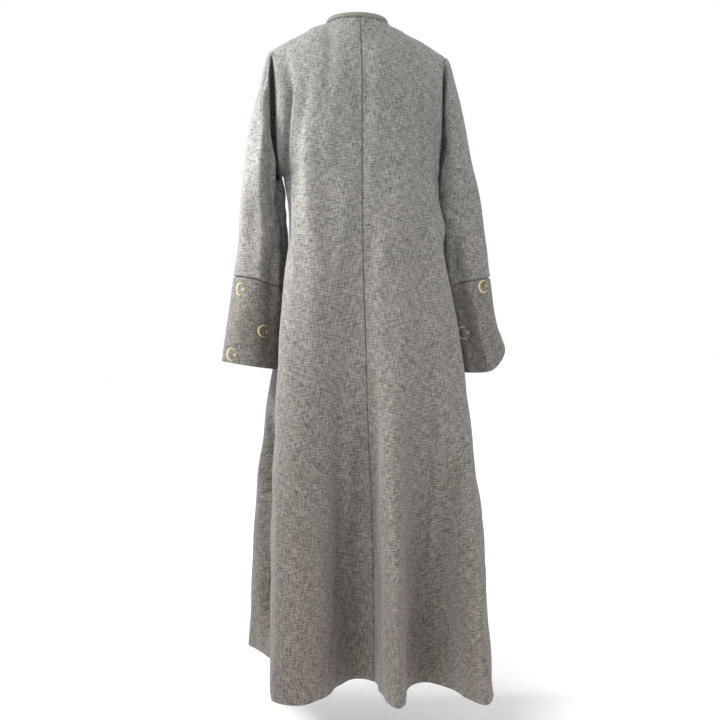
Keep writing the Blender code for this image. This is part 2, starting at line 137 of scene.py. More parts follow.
# At the knee the skirt has gone this share of the way from the hip to the hem, across and in depth
KNEE_Z = -1.10
KNEE_WIDTH_SHARE = 0.78
KNEE_DEPTH_SHARE = 0.52
# This many of a panel's steps, next to its side seam, end at the shoulder and the others at the neckline
SHOULDER_STEPS = 8
# How the shoulder line and the neckline bend
SHOULDER_SLOPE_POWER = 1.18
NECKLINE_POWER = 1.5
# How full a section is, how its columns gather near the centre edge, and how far they lie at the waist as
# they do above it instead of as they do at the hip
SECTION_FULLNESS = 0.85
COLUMN_CROWDING = 1.1
WAIST_EVENNESS = 0.6
# How much of a quarter turn a section beside the armhole makes, and the rise over which the rest goes
ARMHOLE_TURN = 0.62
ARMHOLE_TURN_RISE = 1 / 3
# Rises at which the armhole's edge lies at scye_x, and how far inside of it at the first of them
SCYE_RISES = (0.25, 0.6)
SCYE_HOLLOW = 0.004
# How late the yoke turns over to the shoulder, how rounded it is there, and how near an edge it changes
DOME_POWER = 2.2
SHOULDER_ROUNDING = 0.5
EDGE_POWER = 3

# Sleeve sections by height: how far the outer and inner sides lie out from the garment's middle, how far
# back the section's middle lies, and half its depth from front to back
SLEEVE_COLUMNS = ("z", "outer_x", "inner_x", "middle_y", "half_depth")
SLEEVES = {
    "left": (
        (-0.06, 0.186, 0.126, 0.002, 0.048),
        (-0.15, 0.218, 0.140, 0.002, 0.056),
        (-0.25, 0.239, 0.154, -0.001, 0.060),
        (-0.39, 0.254, 0.162, -0.008, 0.059),
        (-0.47, 0.261, 0.152, -0.016, 0.057),
        (-0.56, 0.271, 0.152, -0.020, 0.057),
        (-0.66, 0.286, 0.162, -0.023, 0.059),
        (-0.77, 0.299, 0.176, -0.026, 0.060),
    ),
    "right": (
        (-0.06, 0.202, 0.130, 0.002, 0.048),
        (-0.15, 0.226, 0.144, 0.002, 0.056),
        (-0.25, 0.246, 0.158, -0.001, 0.060),
        (-0.39, 0.276, 0.177, -0.005, 0.059),
        (-0.47, 0.288, 0.180, -0.009, 0.057),
        (-0.56, 0.301, 0.189, -0.012, 0.057),
        (-0.66, 0.319, 0.206, -0.014, 0.060),
        (-0.71, 0.335, 0.215, -0.015, 0.062),
        (-0.77, 0.342, 0.226, -0.015, 0.063),
    ),
}
# How far below the armhole the cap ends at the shoulder
CAP_LENGTH = 0.085
# How far the cap runs on outwards from its seam before it turns down, at the shoulder and the underarm
SHOULDER_PULL = 0.036
UNDERARM_PULL = 0.012
# Cuff seams and ends: the inner side's height, how much higher the outer side lies and how late the ring
# climbs to it, and how much higher the front lies
CUFF_COLUMNS = ("inner_z", "outer_rise", "lateness", "front_rise")
CUFF_SEAMS = {"left": (-0.581, 0.026, 1, 0.0), "right": (-0.577, 0.024, 1, 0.0)}
CUFF_ENDS = {"left": (-0.760, 0.018, 1, 0.004), "right": (-0.767, 0.056, 4, 0.008)}
# Near the underarm the sleeve leaves the body level, with a slight fall, up to this rise
UNDERARM_SPAN = 0.3
UNDERARM_FALL = 0.2
# The cap's length under the arm, as a share of its length at the shoulder
UNDERARM_CAP_SHARE = 0.6
# Sleeves start as a strip that carries the panels' cloth on: its length, and the closer places in it
SEAM_STRIP = 0.003
SEAM_PLACES = (0.0009, 0.0018)
# Share of a fold's step, at the armhole, from which the cloth's direction is taken
STRIP_SHARE = 0.2

# The shells' points: columns to a step of the folds, rows, and the closer ones beside each edge
COLUMNS_PER_STEP = 5
LOWER_ROWS = 165
YOKE_ROWS = 64
CAP_ROWS = 16
SLEEVE_ROWS = 70
CUFF_ROWS = 40
BAND_ROWS = 8
EDGE_PLACES = (0.03, 0.08, 0.16, 0.3)
HEM_EDGE_ROWS = (0.0, 0.0006, 0.0016, 0.0028, 0.0042, 0.0058, 0.0076, 0.0096)

# Seams: the hairline between two pieces, and how wide and deep the cloth dips into it
SEAM_HAIRLINE = 0.00025
SEAM_DIP_WIDTH = 0.0015
SEAM_DIP_DEPTH = 0.0036
CUFF_SEAM_WIDTH = 0.0017
CUFF_SEAM_DEPTH = 0.0044
# Below the neck band the cloth sinks in: how far below the neckline, how wide, how deep, and the share of
# the neckline over which that fades towards the neck point
NECK_SEAM_PLACE = 0.0036
NECK_SEAM_WIDTH = 0.0022
NECK_SEAM_DEPTH = 0.0030
NECK_SEAM_FADE = 0.25
# Rows just above the underarm lie very close together up to this rise
CROWDED_RISE = 0.1
# The sleeve stands up in a small roll above its cuff seam: how far from the seam, how high and how wide
SEAM_ROLL_PLACE = 0.0055
SEAM_ROLL_HEIGHT = 0.0007
SEAM_ROLL_WIDTH = 0.0022
# The corner below each neck point is rounded: columns of blur at most and at least, metres down for each,
# columns reached, and the rises between which it sets in
NECK_BLUR = 7
LEAST_NECK_BLUR = 0.1
NECK_BLUR_GROWTH = 0.004
NECK_REACH = 14
NECK_BLUR_RISES = (0.45, 0.65)
# Creases and waves of the cloth die out over this distance from a seam
SEAM_CALM = 0.016

# The back hangs into its middle seam: how deep, how wide on either side, and over what distance from the top
CENTRE_VALLEY_DEPTH = 0.009
CENTRE_VALLEY_WIDTHS = {"left": 0.050, "right": 0.026}
CENTRE_VALLEY_START = 0.10
# The skirt hangs into its side seams: how deep and how wide, and the heights at which that starts and is
# full
SIDE_VALLEYS = {"left": (0.012, 0.016), "right": (0.002, 0.012)}
SIDE_VALLEY_HEIGHTS = (-0.60, -0.78)
# The sleeve sinks in beside the armhole: how far from the seam it starts to rise again and how deep it lies
# at the back, then the distances over which it sinks and rises
ARMHOLE_GROOVES = {"left": (0.015, 0.056), "right": (0.007, 0.031)}
GROOVE_NEAR_SLOPE = 0.0045
GROOVE_FAR_SLOPE = 0.014
# Degrees from the shoulder at which the groove starts, is full, starts to fade, and has gone
GROOVE_ANGLES = (16, 62, 150, 178)
# At the front it sinks in by this share
FRONT_GROOVE_SHARE = 0.15

# Slow waves that keep the cloth from lying perfectly smooth: length across, length along, height, start
WAVE_COLUMNS = ("across", "along", "height", "start")
WAVES = (
    (0.110, 0.420, 0.0011, 0.4),
    (-0.067, 0.290, 0.0007, 2.1),
    (0.170, -0.160, 0.0008, 4.4),
    (0.045, 0.520, 0.0004, 1.3),
)

# Creases laid into the cloth, each from one point to another: metres across from the centre edge and the
# height, how far its middle bows across, its half width, how far it stands out (below 0 it sinks in), and
# how much steeper its far side is than its near side
CREASE_COLUMNS = ("across_1", "z_1", "across_2", "z_2", "bow", "width", "rise", "lean")
PANEL_CREASES = {
    "back_left": (
        (0.212, -0.06, 0.160, -0.60, 0.0, 0.014, -0.014, -0.45),
        (0.125, -0.06, 0.105, -0.70, 0.0, 0.022, 0.009, 0.2),
        (0.045, -0.70, 0.075, -1.26, 0.0, 0.014, -0.007, 0.0),
        (0.035, -0.84, 0.042, -1.36, 0.0, 0.010, 0.003, 0.0),
        (0.070, -1.17, 0.155, -1.43, 0.0, 0.008, -0.005, -0.3),
        (0.290, -1.37, 0.230, -1.405, 0.0, 0.006, -0.003, 0.0),
        (0.190, -0.95, 0.230, -1.36, 0.01, 0.022, 0.003, 0.0),
    ),
    "back_right": (
        (0.150, -0.08, 0.122, -0.78, 0.0, 0.016, -0.008, 0.2),
        (0.085, -0.06, 0.080, -0.70, 0.0, 0.024, 0.005, 0.0),
        (0.192, -0.06, 0.166, -0.46, 0.0, 0.010, 0.006, 0.2),
        (0.150, -0.74, 0.290, -1.30, 0.0, 0.010, 0.006, 0.0),
        (0.175, -0.64, 0.320, -1.30, 0.0, 0.012, -0.008, 0.0),
        (0.050, -0.45, 0.020, -0.62, 0.0, 0.014, 0.002, 0.0),
        (0.205, -0.27, 0.215, -0.50, 0.0, 0.022, 0.008, 0.0),
        (0.390, -1.00, 0.440, -1.39, 0.0, 0.016, 0.003, 0.0),
    ),
    "front_left": (
        (0.205, -0.11, 0.170, -0.50, 0.0, 0.012, -0.007, 0.0),
        (0.120, -0.12, 0.095, -0.62, 0.01, 0.024, 0.004, 0.0),
        (0.055, -0.20, 0.040, -0.90, 0.01, 0.020, -0.004, 0.0),
        (0.180, -0.38, 0.060, -0.52, 0.01, 0.016, 0.003, 0.0),
        (0.130, -0.80, 0.190, -1.30, 0.0, 0.012, -0.005, 0.0),
        (0.300, -0.98, 0.370, -1.40, 0.0, 0.014, 0.004, 0.0),
        (0.235, -0.80, 0.385, -1.42, 0.0, 0.024, -0.034, -0.3),
        (0.268, -1.04, 0.305, -0.90, 0.0, 0.006, 0.004, 0.0),
    ),
    "front_right": (
        (0.210, -0.12, 0.165, -0.49, 0.0, 0.013, -0.007, 0.0),
        (0.130, -0.10, 0.110, -0.58, -0.01, 0.022, 0.004, 0.0),
        (0.060, -0.26, 0.045, -0.84, 0.0, 0.022, -0.004, 0.0),
        (0.190, -0.42, 0.080, -0.58, 0.01, 0.015, 0.003, 0.0),
        (0.150, -0.86, 0.230, -1.36, 0.0, 0.012, -0.005, 0.0),
        (0.290, -0.90, 0.350, -1.32, 0.0, 0.016, 0.004, 0.0),
    ),
}
# On a sleeve and its cuff the places across are degrees: 0 on the outer side, 90 at the back
SLEEVE_CREASES = {
    "left": (
        (66, -0.10, 145, -0.52, 0.0, 0.016, -0.011, 0.0),
        (178, -0.31, 174, -0.44, 0.0, 0.014, 0.005, 0.0),
        (76, -0.14, 94, -0.62, 0.0, 0.010, 0.005, 0.2),
        (38, -0.075, 62, -0.165, 0.0, 0.003, 0.002, 0.0),
        (22, -0.075, 50, -0.170, 0.0, 0.005, -0.004, 0.0),
        (112, -0.44, 126, -0.76, 0.0, 0.016, -0.009, 0.0),
        (150, -0.27, 156, -0.64, 0.0, 0.013, -0.012, 0.0),
        (150, -0.38, 84, -0.46, 0.0, 0.008, -0.003, 0.0),
        (172, -0.46, 104, -0.53, 0.0, 0.009, -0.003, 0.0),
        (-62, -0.10, -140, -0.43, 0.0, 0.013, -0.008, 0.0),
        (-150, -0.42, -70, -0.50, 0.0, 0.009, -0.003, 0.0),
        (-100, -0.45, -115, -0.75, 0.0, 0.014, -0.005, 0.0),
        (30, -0.30, 45, -0.56, 0.0, 0.014, 0.002, 0.0),
    ),
    "right": (
        (62, -0.085, 150, -0.41, 0.0, 0.011, -0.011, 0.0),
        (90, -0.18, 99, -0.57, 0.0, 0.012, 0.003, 0.0),
        (178, -0.31, 174, -0.44, 0.0, 0.014, 0.006, 0.0),
        (98, -0.55, 90, -0.80, 0.0, 0.009, 0.009, 0.4),
        (118, -0.46, 112, -0.82, 0.0, 0.012, -0.016, 0.0),
        (158, -0.42, 92, -0.49, 0.0, 0.009, -0.003, 0.0),
        (170, -0.36, 110, -0.43, 0.0, 0.008, -0.003, 0.0),
        (-58, -0.09, -145, -0.42, 0.0, 0.012, -0.008, 0.0),
        (-155, -0.40, -80, -0.47, 0.0, 0.009, -0.003, 0.0),
        (-105, -0.48, -95, -0.76, 0.0, 0.013, -0.005, 0.0),
        (35, -0.26, 25, -0.56, 0.0, 0.015, 0.002, 0.0),
    ),
}
# Degrees become metres across at this radius
SLEEVE_RADIUS = 0.057
# How creases wander and how uneven they are along their length: how much, how fast, and how far each one's
# wave starts from the last one's
CREASE_WANDER = (0.12, 9, 2.1)
CREASE_UNEVENNESS = (0.22, 13, 1.7)
# Share of its length over which a crease fades at each end
CREASE_FADE = 0.22

# Neck band: height, wall, how far it bulges and how roundly, how far it reaches down over the cloth, how
# upright it stands, and the share of the yoke's rise below the neckline from which its direction is taken
BAND_HEIGHT = 0.0085
BAND_WALL = 0.0018
BAND_BULGE = 0.0011
BAND_ROUNDNESS = 0.6
BAND_OVERLAP = 0.0012
BAND_UPRIGHT = 0.6
NECK_STRIP = 0.017
# At a neck point the band is lower and leans one way: over what distance, over what distance its direction
# is evened out, and the share by which it is lower
BAND_TIP_REACH = 0.014
BAND_TIP_BLUR = 0.008
BAND_TIP_DROP = 0.6
# The band runs along these necklines in turn. True means from the neck point to the centre.
BAND_ORDER = {"front_left": False, "back_left": True, "back_right": False, "front_right": True}

# The cloth's noise: where the weft's starts, and how far its grid is turned off the threads
WEFT_START = (17.3, 5.9, 0.0)
NOISE_TURN = 0.6
# The weave: how gradually one yarn passes over another, the wave's height at which a yarn is fully up, how
# light it is where it dips and on top (painted shade in the dips, a little painted light on top), how much of
# the bump map is the yarns' own roundness, and how rough dark and light yarns are
WEAVE_EDGE = 0.15
YARN_ROUNDNESS = 0.6
YARN_DIP_SHADE_AND_TOP_LIGHT = (0.7, 1.06)
YARN_BUMP = 0.6
YARN_ROUGHNESS = (0.96, 0.84)
# How strongly the yarns' bumps show and how high they stand, how wide the sheen is, and how shiny cloth is
BUMP_STRENGTH = 0.5
BUMP_DISTANCE = 0.0006
SHEEN_ROUGHNESS = 0.5
CLOTH_SPECULAR = 0.25
# Cloth colours: small mottles and wide patches, each with its size, the noise values between which it grows
# and its tint, and a browner, darker tone that grows downwards between two heights: partly the cloth's own
# tone, partly painted shade for the light that falls off towards the hem
MOTTLE_SIZE = 0.006
MOTTLE_SPREAD = (0.50, 0.68)
MOTTLE_TINT = (1.0, 0.95, 0.92, 1.0)
PATCH_SIZE = 0.09
PATCH_SPREAD = (0.42, 0.66)
PATCH_TINT = (0.95, 0.96, 0.94, 1.0)
LOWER_TONE_AND_SHADE_HEIGHTS = (-0.25, -1.35)
NO_TINT = (1.0, 1.0, 1.0)
# The band's cloth is this many times finer than the body's, and its slubs this many times shorter
BAND_FINENESS = 2
BAND_SLUB_SHORTNESS = 3
# Threads: how metallic and how rough, and the spots in which they are darker and rougher
THREAD_FINISH = (0.0, 0.7)
GOLD_FINISH = (0.15, 0.38)
SPOT_SCALE = 900.0
SPOT_SPREAD = (0.3, 0.7)
SPOT_DARKNESS = 0.6
SPOT_ROUGHNESS = 0.12

# Embroidered crescent: outer and inner radius, how far the inner circle is set over, half the opening, how
# many threads, and how many degrees each slants
CRESCENT_OUTER = 0.0135
CRESCENT_INNER = 0.0119
CRESCENT_SHIFT = 0.0024
CRESCENT_OPENING = 47
CRESCENT_THREADS = 110
CRESCENT_SLANT = 5
# Star: how many points, its middle, the radius of the points and of the corners between them, how it is
# turned, and where its threads lie, from the middle at -1 through the corners at 0 to the point at 1
STAR_COUNT = 5
STAR_MIDDLE = (0.0098, 0.0)
STAR_POINTS = 0.0050
STAR_CORNERS = 0.0021
STAR_TURN = 18
STAR_SHARES = (-0.7, -0.35, 0.0, 0.2, 0.4, 0.6, 0.8)
# Each thread: its points, how far its middle stands up, and the share of its width it lies off the cloth
THREAD_POINTS = 5
THREAD_CROWN = 0.0004
GOLD_LIFT = 1 / 3
# How far from the last row a place still counts as before it
JUST_INSIDE = 0.0001
# Three rows of motifs round each cuff: degrees, 0 on the outer side and 90 at the back, and share of the
# way down
MOTIFS = {
    "left": (
        ((45, 0.14), (165, 0.12), (285, 0.15)),
        ((110, 0.57), (230, 0.53), (350, 0.55)),
        ((45, 0.90), (186, 0.88), (285, 0.89)),
    ),
    "right": (
        ((61, 0.092), (184, 0.13), (304, 0.12)),
        ((132, 0.55), (252, 0.53), (345, 0.54)),
        ((14, 0.87), (160, 0.88), (285, 0.87)),
    ),
}

# How each piece of cloth is cut: width, length, flat area, how it is held, and the pieces that carry it
CUTS = {
    "back_left": (0.478, 1.463, 0.451, "draped", ("front_left", "neck_band")),
    "back_right": (0.773, 1.469, 0.556, "draped", ("front_right", "neck_band")),
    "front_left": (0.506, 1.469, 0.458, "draped", ("back_left", "neck_band")),
    "front_right": (0.503, 1.468, 0.451, "draped", ("back_right", "neck_band")),
    "sleeve_left": (0.640, 0.543, 0.161, "hung", ("back_left", "front_left")),
    "sleeve_right": (0.604, 0.508, 0.148, "hung", ("back_right", "front_right")),
    "cuff_left": (0.385, 0.190, 0.070, "hung", ("sleeve_left",)),
    "cuff_right": (0.415, 0.207, 0.073, "hung", ("sleeve_right",)),
    "neck_band": (0.500, 0.0101, 0.0040, "draped", ("back_left", "back_right")),
}

# Stage: how far the floor reaches, its roughness, and the camera's shift as a share of the picture's width
FLOOR_REACH = 30.0
FLOOR_ROUGHNESS = 0.9
CAMERA_SHIFT = 3 / 720
WHITE = (1.0, 1.0, 1.0, 1.0)
# The lights: kind, where each stands as seen from the garment, the place it points at, and how soft it is
LIGHTS = {
    "key": ("SUN", (0.4, 0.4, 0.82), (0, 0, 0), {"angle": math.radians(25)}),
    "fill": ("SUN", (-0.8, 0.6, 0.15), (0, 0, 0), {"angle": math.radians(45)}),
    "front": ("SUN", (0.2, -0.9, 0.4), (0, 0, 0), {"angle": math.radians(60)}),
    "lamp": (
        "SPOT",
        (1.25, 0.05, 0.3),
        (0.15, 0.0, -0.4),
        {"spot_size": math.radians(48), "spot_blend": 0.9, "shadow_soft_size": 0.3},
    ),
}


def named_rows(columns, table):
    return [dict(zip(columns, row)) for row in table]


def mix(first, second, share):
    return first + (second - first) * share


def smooth_step(value):
    value = np.clip(value, 0.0, 1.0)
    return value * value * (3 - 2 * value)


def monotone_curve(knots, values, where):
    """A smooth curve through values at rising knots that never swings past them. Values may be points."""
    knots = np.asarray(knots, float)
    values = np.asarray(values, float)
    shape = (-1,) + (1,) * (values.ndim - 1)
    widths = np.diff(knots).reshape(shape)
    slopes = np.diff(values, axis=0) / widths
    tangents = np.empty_like(values)
    tangents[0], tangents[-1] = slopes[0], slopes[-1]
    before, after = slopes[:-1], slopes[1:]
    same_way = before * after > 0
    total = np.where(same_way, before + after, 1.0)
    tangents[1:-1] = np.where(same_way, 2 * before * after / total, 0.0)
    where = np.clip(where, knots[0], knots[-1])
    index = np.clip(np.searchsorted(knots, where, side="right") - 1, 0, len(knots) - 2)
    width = widths[index]
    share = (where - knots[index]).reshape(shape) / width
    start_tangent, end_tangent = tangents[index] * width, tangents[index + 1] * width
    return hermite(values[index], start_tangent, values[index + 1], end_tangent, share)


def hermite(start, start_tangent, end, end_tangent, share):
    square, cube = share * share, share * share * share
    return (
        (2 * cube - 3 * square + 1) * start
        + (cube - 2 * square + share) * start_tangent
        + (3 * square - 2 * cube) * end
        + (cube - square) * end_tangent
    )


def round_curve(opening, points, steps, closing, columns):
    """A smooth curve through the points of a section, read at the given columns.

    steps says how far each point lies from the last on the columns' scale. opening and closing are the
    points before the first and past the last, which set the direction at the panel's two seams.
    """
    points = np.vstack([opening, points, closing])
    lengths = np.sqrt(np.linalg.norm(np.diff(points, axis=0), axis=1))
    slopes = np.diff(points, axis=0) / lengths[:, None]
    before, after = lengths[:-1, None], lengths[1:, None]
    tangents = (slopes[:-1] * after + slopes[1:] * before) / (before + after)
    starts = np.concatenate([[0], np.cumsum(steps)])
    index = np.clip(np.searchsorted(starts, columns, side="right") - 1, 0, len(steps) - 1)
    share = ((columns - starts[index]) / np.asarray(steps)[index])[:, None]
    width = lengths[index + 1][:, None]
    start_tangent, end_tangent = tangents[index] * width, tangents[index + 1] * width
    return hermite(points[index + 1], start_tangent, points[index + 2], end_tangent, share)


def row_places(total, parts):
    """Even places from 0 to total, with closer ones beside both ends."""
    near = np.array(EDGE_PLACES) * total / parts * COLUMNS_PER_STEP
    return np.unique(np.concatenate([np.linspace(0, total, parts + 1), near, total - near]))


def lengths_along(grid, axis):
    """How far each point lies from the first one, along its row or its column."""
    steps = np.linalg.norm(np.diff(grid, axis=axis), axis=2)
    run = np.cumsum(steps, axis=axis)
    start = np.zeros_like(np.take(run, [0], axis=axis))
    return np.concatenate([start, run], axis=axis)


def outward_normals(grid, closed, flipped):
    along = np.gradient(grid, axis=0)
    if closed:
        wrapped = np.concatenate([grid[:, -1:], grid, grid[:, :1]], axis=1)
        across = (wrapped[:, 2:] - wrapped[:, :-2]) / 2
    else:
        across = np.gradient(grid, axis=1)
    normals = np.cross(across, along)
    normals /= np.linalg.norm(normals, axis=2)[:, :, None]
    return -normals if flipped else normals


def ripple(amount, speed, start, share, number):
    """A small wave along a crease, which begins elsewhere on each one."""
    return amount * np.sin(speed * share + start * number)


def crease_depth(across, height, creases, around=None):
    """How far the creases of a table make each point stand out. around is the length once round a tube."""
    depth = np.zeros_like(height)
    for number, row in enumerate(named_rows(CREASE_COLUMNS, creases)):
        start = np.array([row["across_1"], row["z_1"]])
        run = np.array([row["across_2"], row["z_2"]]) - start
        length = math.hypot(*run)
        aside = across - start[0]
        if around:
            middle = run[0] / 2
            aside = (aside - middle + around / 2) % around - around / 2 + middle
        up = height - start[1]
        share = (aside * run[0] + up * run[1]) / length**2
        offset = (up * run[0] - aside * run[1]) / length
        offset = offset - row["bow"] * 4 * share * (1 - share)
        offset = offset + row["width"] * ripple(*CREASE_WANDER, share, number)
        reach = row["width"] * (1 - row["lean"] * np.sign(offset))
        fade = smooth_step(share / CREASE_FADE) * smooth_step((1 - share) / CREASE_FADE)
        uneven = 1 + ripple(*CREASE_UNEVENNESS, share, number)
        depth += row["rise"] * uneven * fade * np.exp(-((offset / reach) ** 2))
    return depth


def wave_depth(across, height):
    depth = np.zeros_like(height)
    for row in named_rows(WAVE_COLUMNS, WAVES):
        turns = across / row["across"] + height / row["along"]
        depth += row["height"] * np.sin(math.tau * turns + row["start"])
    return depth


def seam_dip(distance, depth=SEAM_DIP_DEPTH, width=SEAM_DIP_WIDTH):
    return -depth * np.exp(-((distance / width) ** 2))


class Panel:
    """A body panel's surface: rows of points from hem to shoulder, columns from centre edge to side seam."""

    def __init__(self, name):
        self.name = name
        part, self.side_name = name.split("_")
        self.is_back = part == "back"
        self.part = dict(zip(PART_COLUMNS, PARTS[part]))
        self.side = dict(zip(SIDE_COLUMNS, SIDES[self.side_name]))
        self.facing, self.sign = self.part["facing"], self.side["sign"]
        self.flipped = self.sign == self.facing
        self.steps = [row["steps"] for row in named_rows(FOLD_COLUMNS, FOLDS[name])[:-1]]
        self.columns = row_places(sum(self.steps), sum(self.steps) * COLUMNS_PER_STEP)
        self.hem, self.hip = self.fold_section("hem"), self.fold_section("hip")
        self.set_shares(sum(self.steps))
        self.rises = row_places(1.0, YOKE_ROWS)
        self.plain = np.concatenate([self.lower_grid(), self.softened(self.upper_rows(self.rises))])
        self.underarm_row = len(self.plain) - len(self.rises)
        self.across = lengths_along(self.plain, 1)
        self.along = lengths_along(self.plain, 0)
        self.height = self.plain[:, :, 2]

    def fold_section(self, place):
        """The folds at the hem or the hip. The next fold past each seam sets the direction there."""

        def points_of(name):
            rows = named_rows(FOLD_COLUMNS, FOLDS[name])
            return np.array([[row[place + "_x"], row[place + "_y"]] for row in rows])

        points = points_of(self.name)
        if self.is_back:
            opening = points_of("back_right" if self.side_name == "left" else "back_left")[1]
            closing = points_of("front_" + self.side_name)[-2]
        else:
            opening = 2 * points[0] - points[1]
            closing = points_of("back_" + self.side_name)[-2]
        return round_curve(opening, points, self.steps, closing, self.columns)

    def set_shares(self, total):
        """Where each column reaches the neckline or the shoulder, and its share of the way round below."""
        neck_steps = total - SHOULDER_STEPS
        self.neck_share = np.clip(self.columns / neck_steps, 0, 1)
        self.shoulder_share = np.clip((self.columns - neck_steps) / SHOULDER_STEPS, 0, 1)
        angle = self.neck_share * math.pi / 2
        tip_x, tip_z = self.side["tip_x"], self.side["tip_z"]
        neck_x = mix(self.part["centre_x"], NECK_HALF_WIDTH, np.sin(angle))
        top_x = mix(neck_x, tip_x, self.shoulder_share)
        top_y = self.facing * self.part["neck_depth"] * np.cos(angle)
        neck_z = -self.part["neck_drop"] * np.cos(angle) ** NECKLINE_POWER
        top_z = neck_z + tip_z * self.shoulder_share**SHOULDER_SLOPE_POWER
        self.top = np.stack([self.sign * top_x, top_y, top_z], axis=1)
        self.spread = top_x / tip_x
        self.upper_share = (self.columns / total) ** COLUMN_CROWDING
        steps = np.linalg.norm(np.diff(self.hip, axis=0), axis=1)
        travelled = np.concatenate([[0.0], np.cumsum(steps)])
        hip_share = travelled / travelled[-1]
        self.waist_share = mix(hip_share, self.upper_share, WAIST_EVENNESS)

    def plain_section(self, share, half_width, seam_x, depth):
        """A quarter of a round section without folds, which turns in again where the side seam is nearer."""
        angle = share * (math.pi - math.asin(seam_x / half_width))
        x = self.sign * mix(self.part["centre_x"], half_width, np.sin(angle))
        y = self.facing * depth * np.cos(share * math.pi / 2) ** SECTION_FULLNESS
        return np.stack([x, y], axis=1)

    def lower_grid(self):
        """Rows from the hem to just below the underarm, each column a smooth curve through its sections."""
        underarm_x, seam_x = self.side["underarm_x"], self.side["waist_seam_x"]
        widest_x = self.side["waist_back_x"] if self.is_back else seam_x
        waist = self.plain_section(self.waist_share, widest_x, seam_x, self.part["waist_depth"])
        chest = self.plain_section(self.upper_share, underarm_x, underarm_x, self.part["chest_depth"])
        knee = mix(self.hip, self.hem, np.array([KNEE_WIDTH_SHARE, KNEE_DEPTH_SHARE]))
        knots = (HEM_Z, KNEE_Z, HIP_Z, WAIST_Z, UNDERARM_Z)
        start = (UNDERARM_Z - HEM_Z) / LOWER_ROWS
        even = np.linspace(HEM_Z + start, UNDERARM_Z, LOWER_ROWS, endpoint=False)
        heights = np.unique(np.concatenate([HEM_Z + np.array(HEM_EDGE_ROWS), even]))
        flat = monotone_curve(knots, [self.hem, knee, self.hip, waist, chest], heights)
        tall = np.broadcast_to(heights[:, None, None], flat.shape[:2] + (1,))
        return np.concatenate([flat, tall], axis=2)

    def armhole(self, rise):
        """The armhole's edge, from the underarm at a rise of 0 to the shoulder tip at 1."""
        side = self.side
        turn = rise * math.pi
        places = (side["underarm_x"], side["scye_x"] - SCYE_HOLLOW, side["scye_x"], side["tip_x"])
        x = monotone_curve((0, *SCYE_RISES, 1), places, rise)
        y = self.facing * ARMHOLE_HALF_DEPTH * np.sin(turn)
        z = mix(UNDERARM_Z, side["tip_z"], (1 - np.cos(turn)) / 2)
        return np.stack([self.sign * x, y, z], axis=-1)

    def upper_rows(self, rises):
        """Rows from the underarm to the neckline and the shoulder seam."""
        on_shoulder = self.neck_share**EDGE_POWER
        near_edge = (self.columns / self.columns[-1]) ** EDGE_POWER
        share = self.upper_share
        rows = []
        for rise in rises:
            edge = self.armhole(np.array([rise]))[0]
            turn = mix(1.0, ARMHOLE_TURN, smooth_step(rise / ARMHOLE_TURN_RISE)) * math.pi / 2
            round_x = np.sin(turn * share) / math.sin(turn)
            round_y = (np.cos(turn * share) - math.cos(turn)) / (1 - math.cos(turn))
            round_y = np.clip(round_y, 0, 1) ** SECTION_FULLNESS
            section_x = mix(self.sign * self.part["centre_x"], edge[0], round_x)
            inner_y = self.facing * ARMHOLE_HALF_DEPTH * math.sin(rise * math.pi) ** 2
            edge_y = mix(inner_y, edge[1], near_edge)
            section_y = mix(edge_y, self.facing * self.part["chest_depth"], round_y)
            climb = mix(rise, math.sin(rise * math.pi / 2), on_shoulder)
            climb = mix(climb, (1 - math.cos(rise * math.pi)) / 2, near_edge)
            dome = np.clip(1 - climb**DOME_POWER, 0, 1) ** mix(1.0, SHOULDER_ROUNDING, on_shoulder)
            x = mix(section_x, edge[0] * self.spread, climb**EDGE_POWER)
            y = edge_y + (section_y - edge_y) * dome + self.top[:, 1] * (1 - dome)
            z = mix(UNDERARM_Z, self.top[:, 2], climb)
            rows.append(np.stack([x, y, z], axis=1))
        rows = np.array(rows)
        rows[:, -1] = self.armhole(rises)
        return rows

    def softened(self, upper):
        """The upper rows with the corner below the neck point rounded, more so further down from it."""
        places = np.arange(len(self.columns))
        corner = len(self.columns[self.columns <= self.columns[-1] - SHOULDER_STEPS]) - 1
        near = np.exp(-(((places - corner) / NECK_REACH) ** 2))
        below = lengths_along(upper[::-1], 0)[::-1, corner]
        start, full = NECK_BLUR_RISES
        for row, distance, rise in zip(upper, below, self.rises):
            blur = min(distance / NECK_BLUR_GROWTH, NECK_BLUR)
            if blur < LEAST_NECK_BLUR:
                continue
            shares = np.exp(-(((places[:, None] - places) / blur) ** 2))
            shares /= shares.sum(axis=1)[:, None]
            weight = near * smooth_step((rise - start) / (full - start))
            weight[[0, -1]] = 0
            row += (shares @ row - row) * weight[:, None]
        return upper

    def armhole_loop(self):
        """The armhole's points from the underarm up, and the direction in which the cloth runs on from it."""
        edge = self.plain[self.underarm_row :, -1]
        strip = np.searchsorted(self.columns, self.columns[-1] - STRIP_SHARE)
        inside = self.plain[self.underarm_row :, strip]
        outward = (edge - inside) / np.linalg.norm(edge - inside, axis=1)[:, None]
        below_arm = np.array([self.sign, 0.0, -UNDERARM_FALL])
        share = smooth_step(self.rises / UNDERARM_SPAN)[:, None]
        outward = mix(below_arm / np.linalg.norm(below_arm), outward, share)
        return edge, outward / np.linalg.norm(outward, axis=1)[:, None]

    def neckline(self):
        """The neckline's points from the centre out, and the direction in which the cloth runs on from it."""
        on_neck = self.columns <= self.columns[-1] - SHOULDER_STEPS
        strip = np.searchsorted(self.rises, 1 - NECK_STRIP)
        edge = self.plain[-1][on_neck]
        inside = self.plain[self.underarm_row + strip][on_neck]
        way = edge - inside
        way = mix(way / np.linalg.norm(way, axis=1)[:, None], np.array([0, 0, 1]), BAND_UPRIGHT)
        return edge, way / np.linalg.norm(way, axis=1)[:, None]

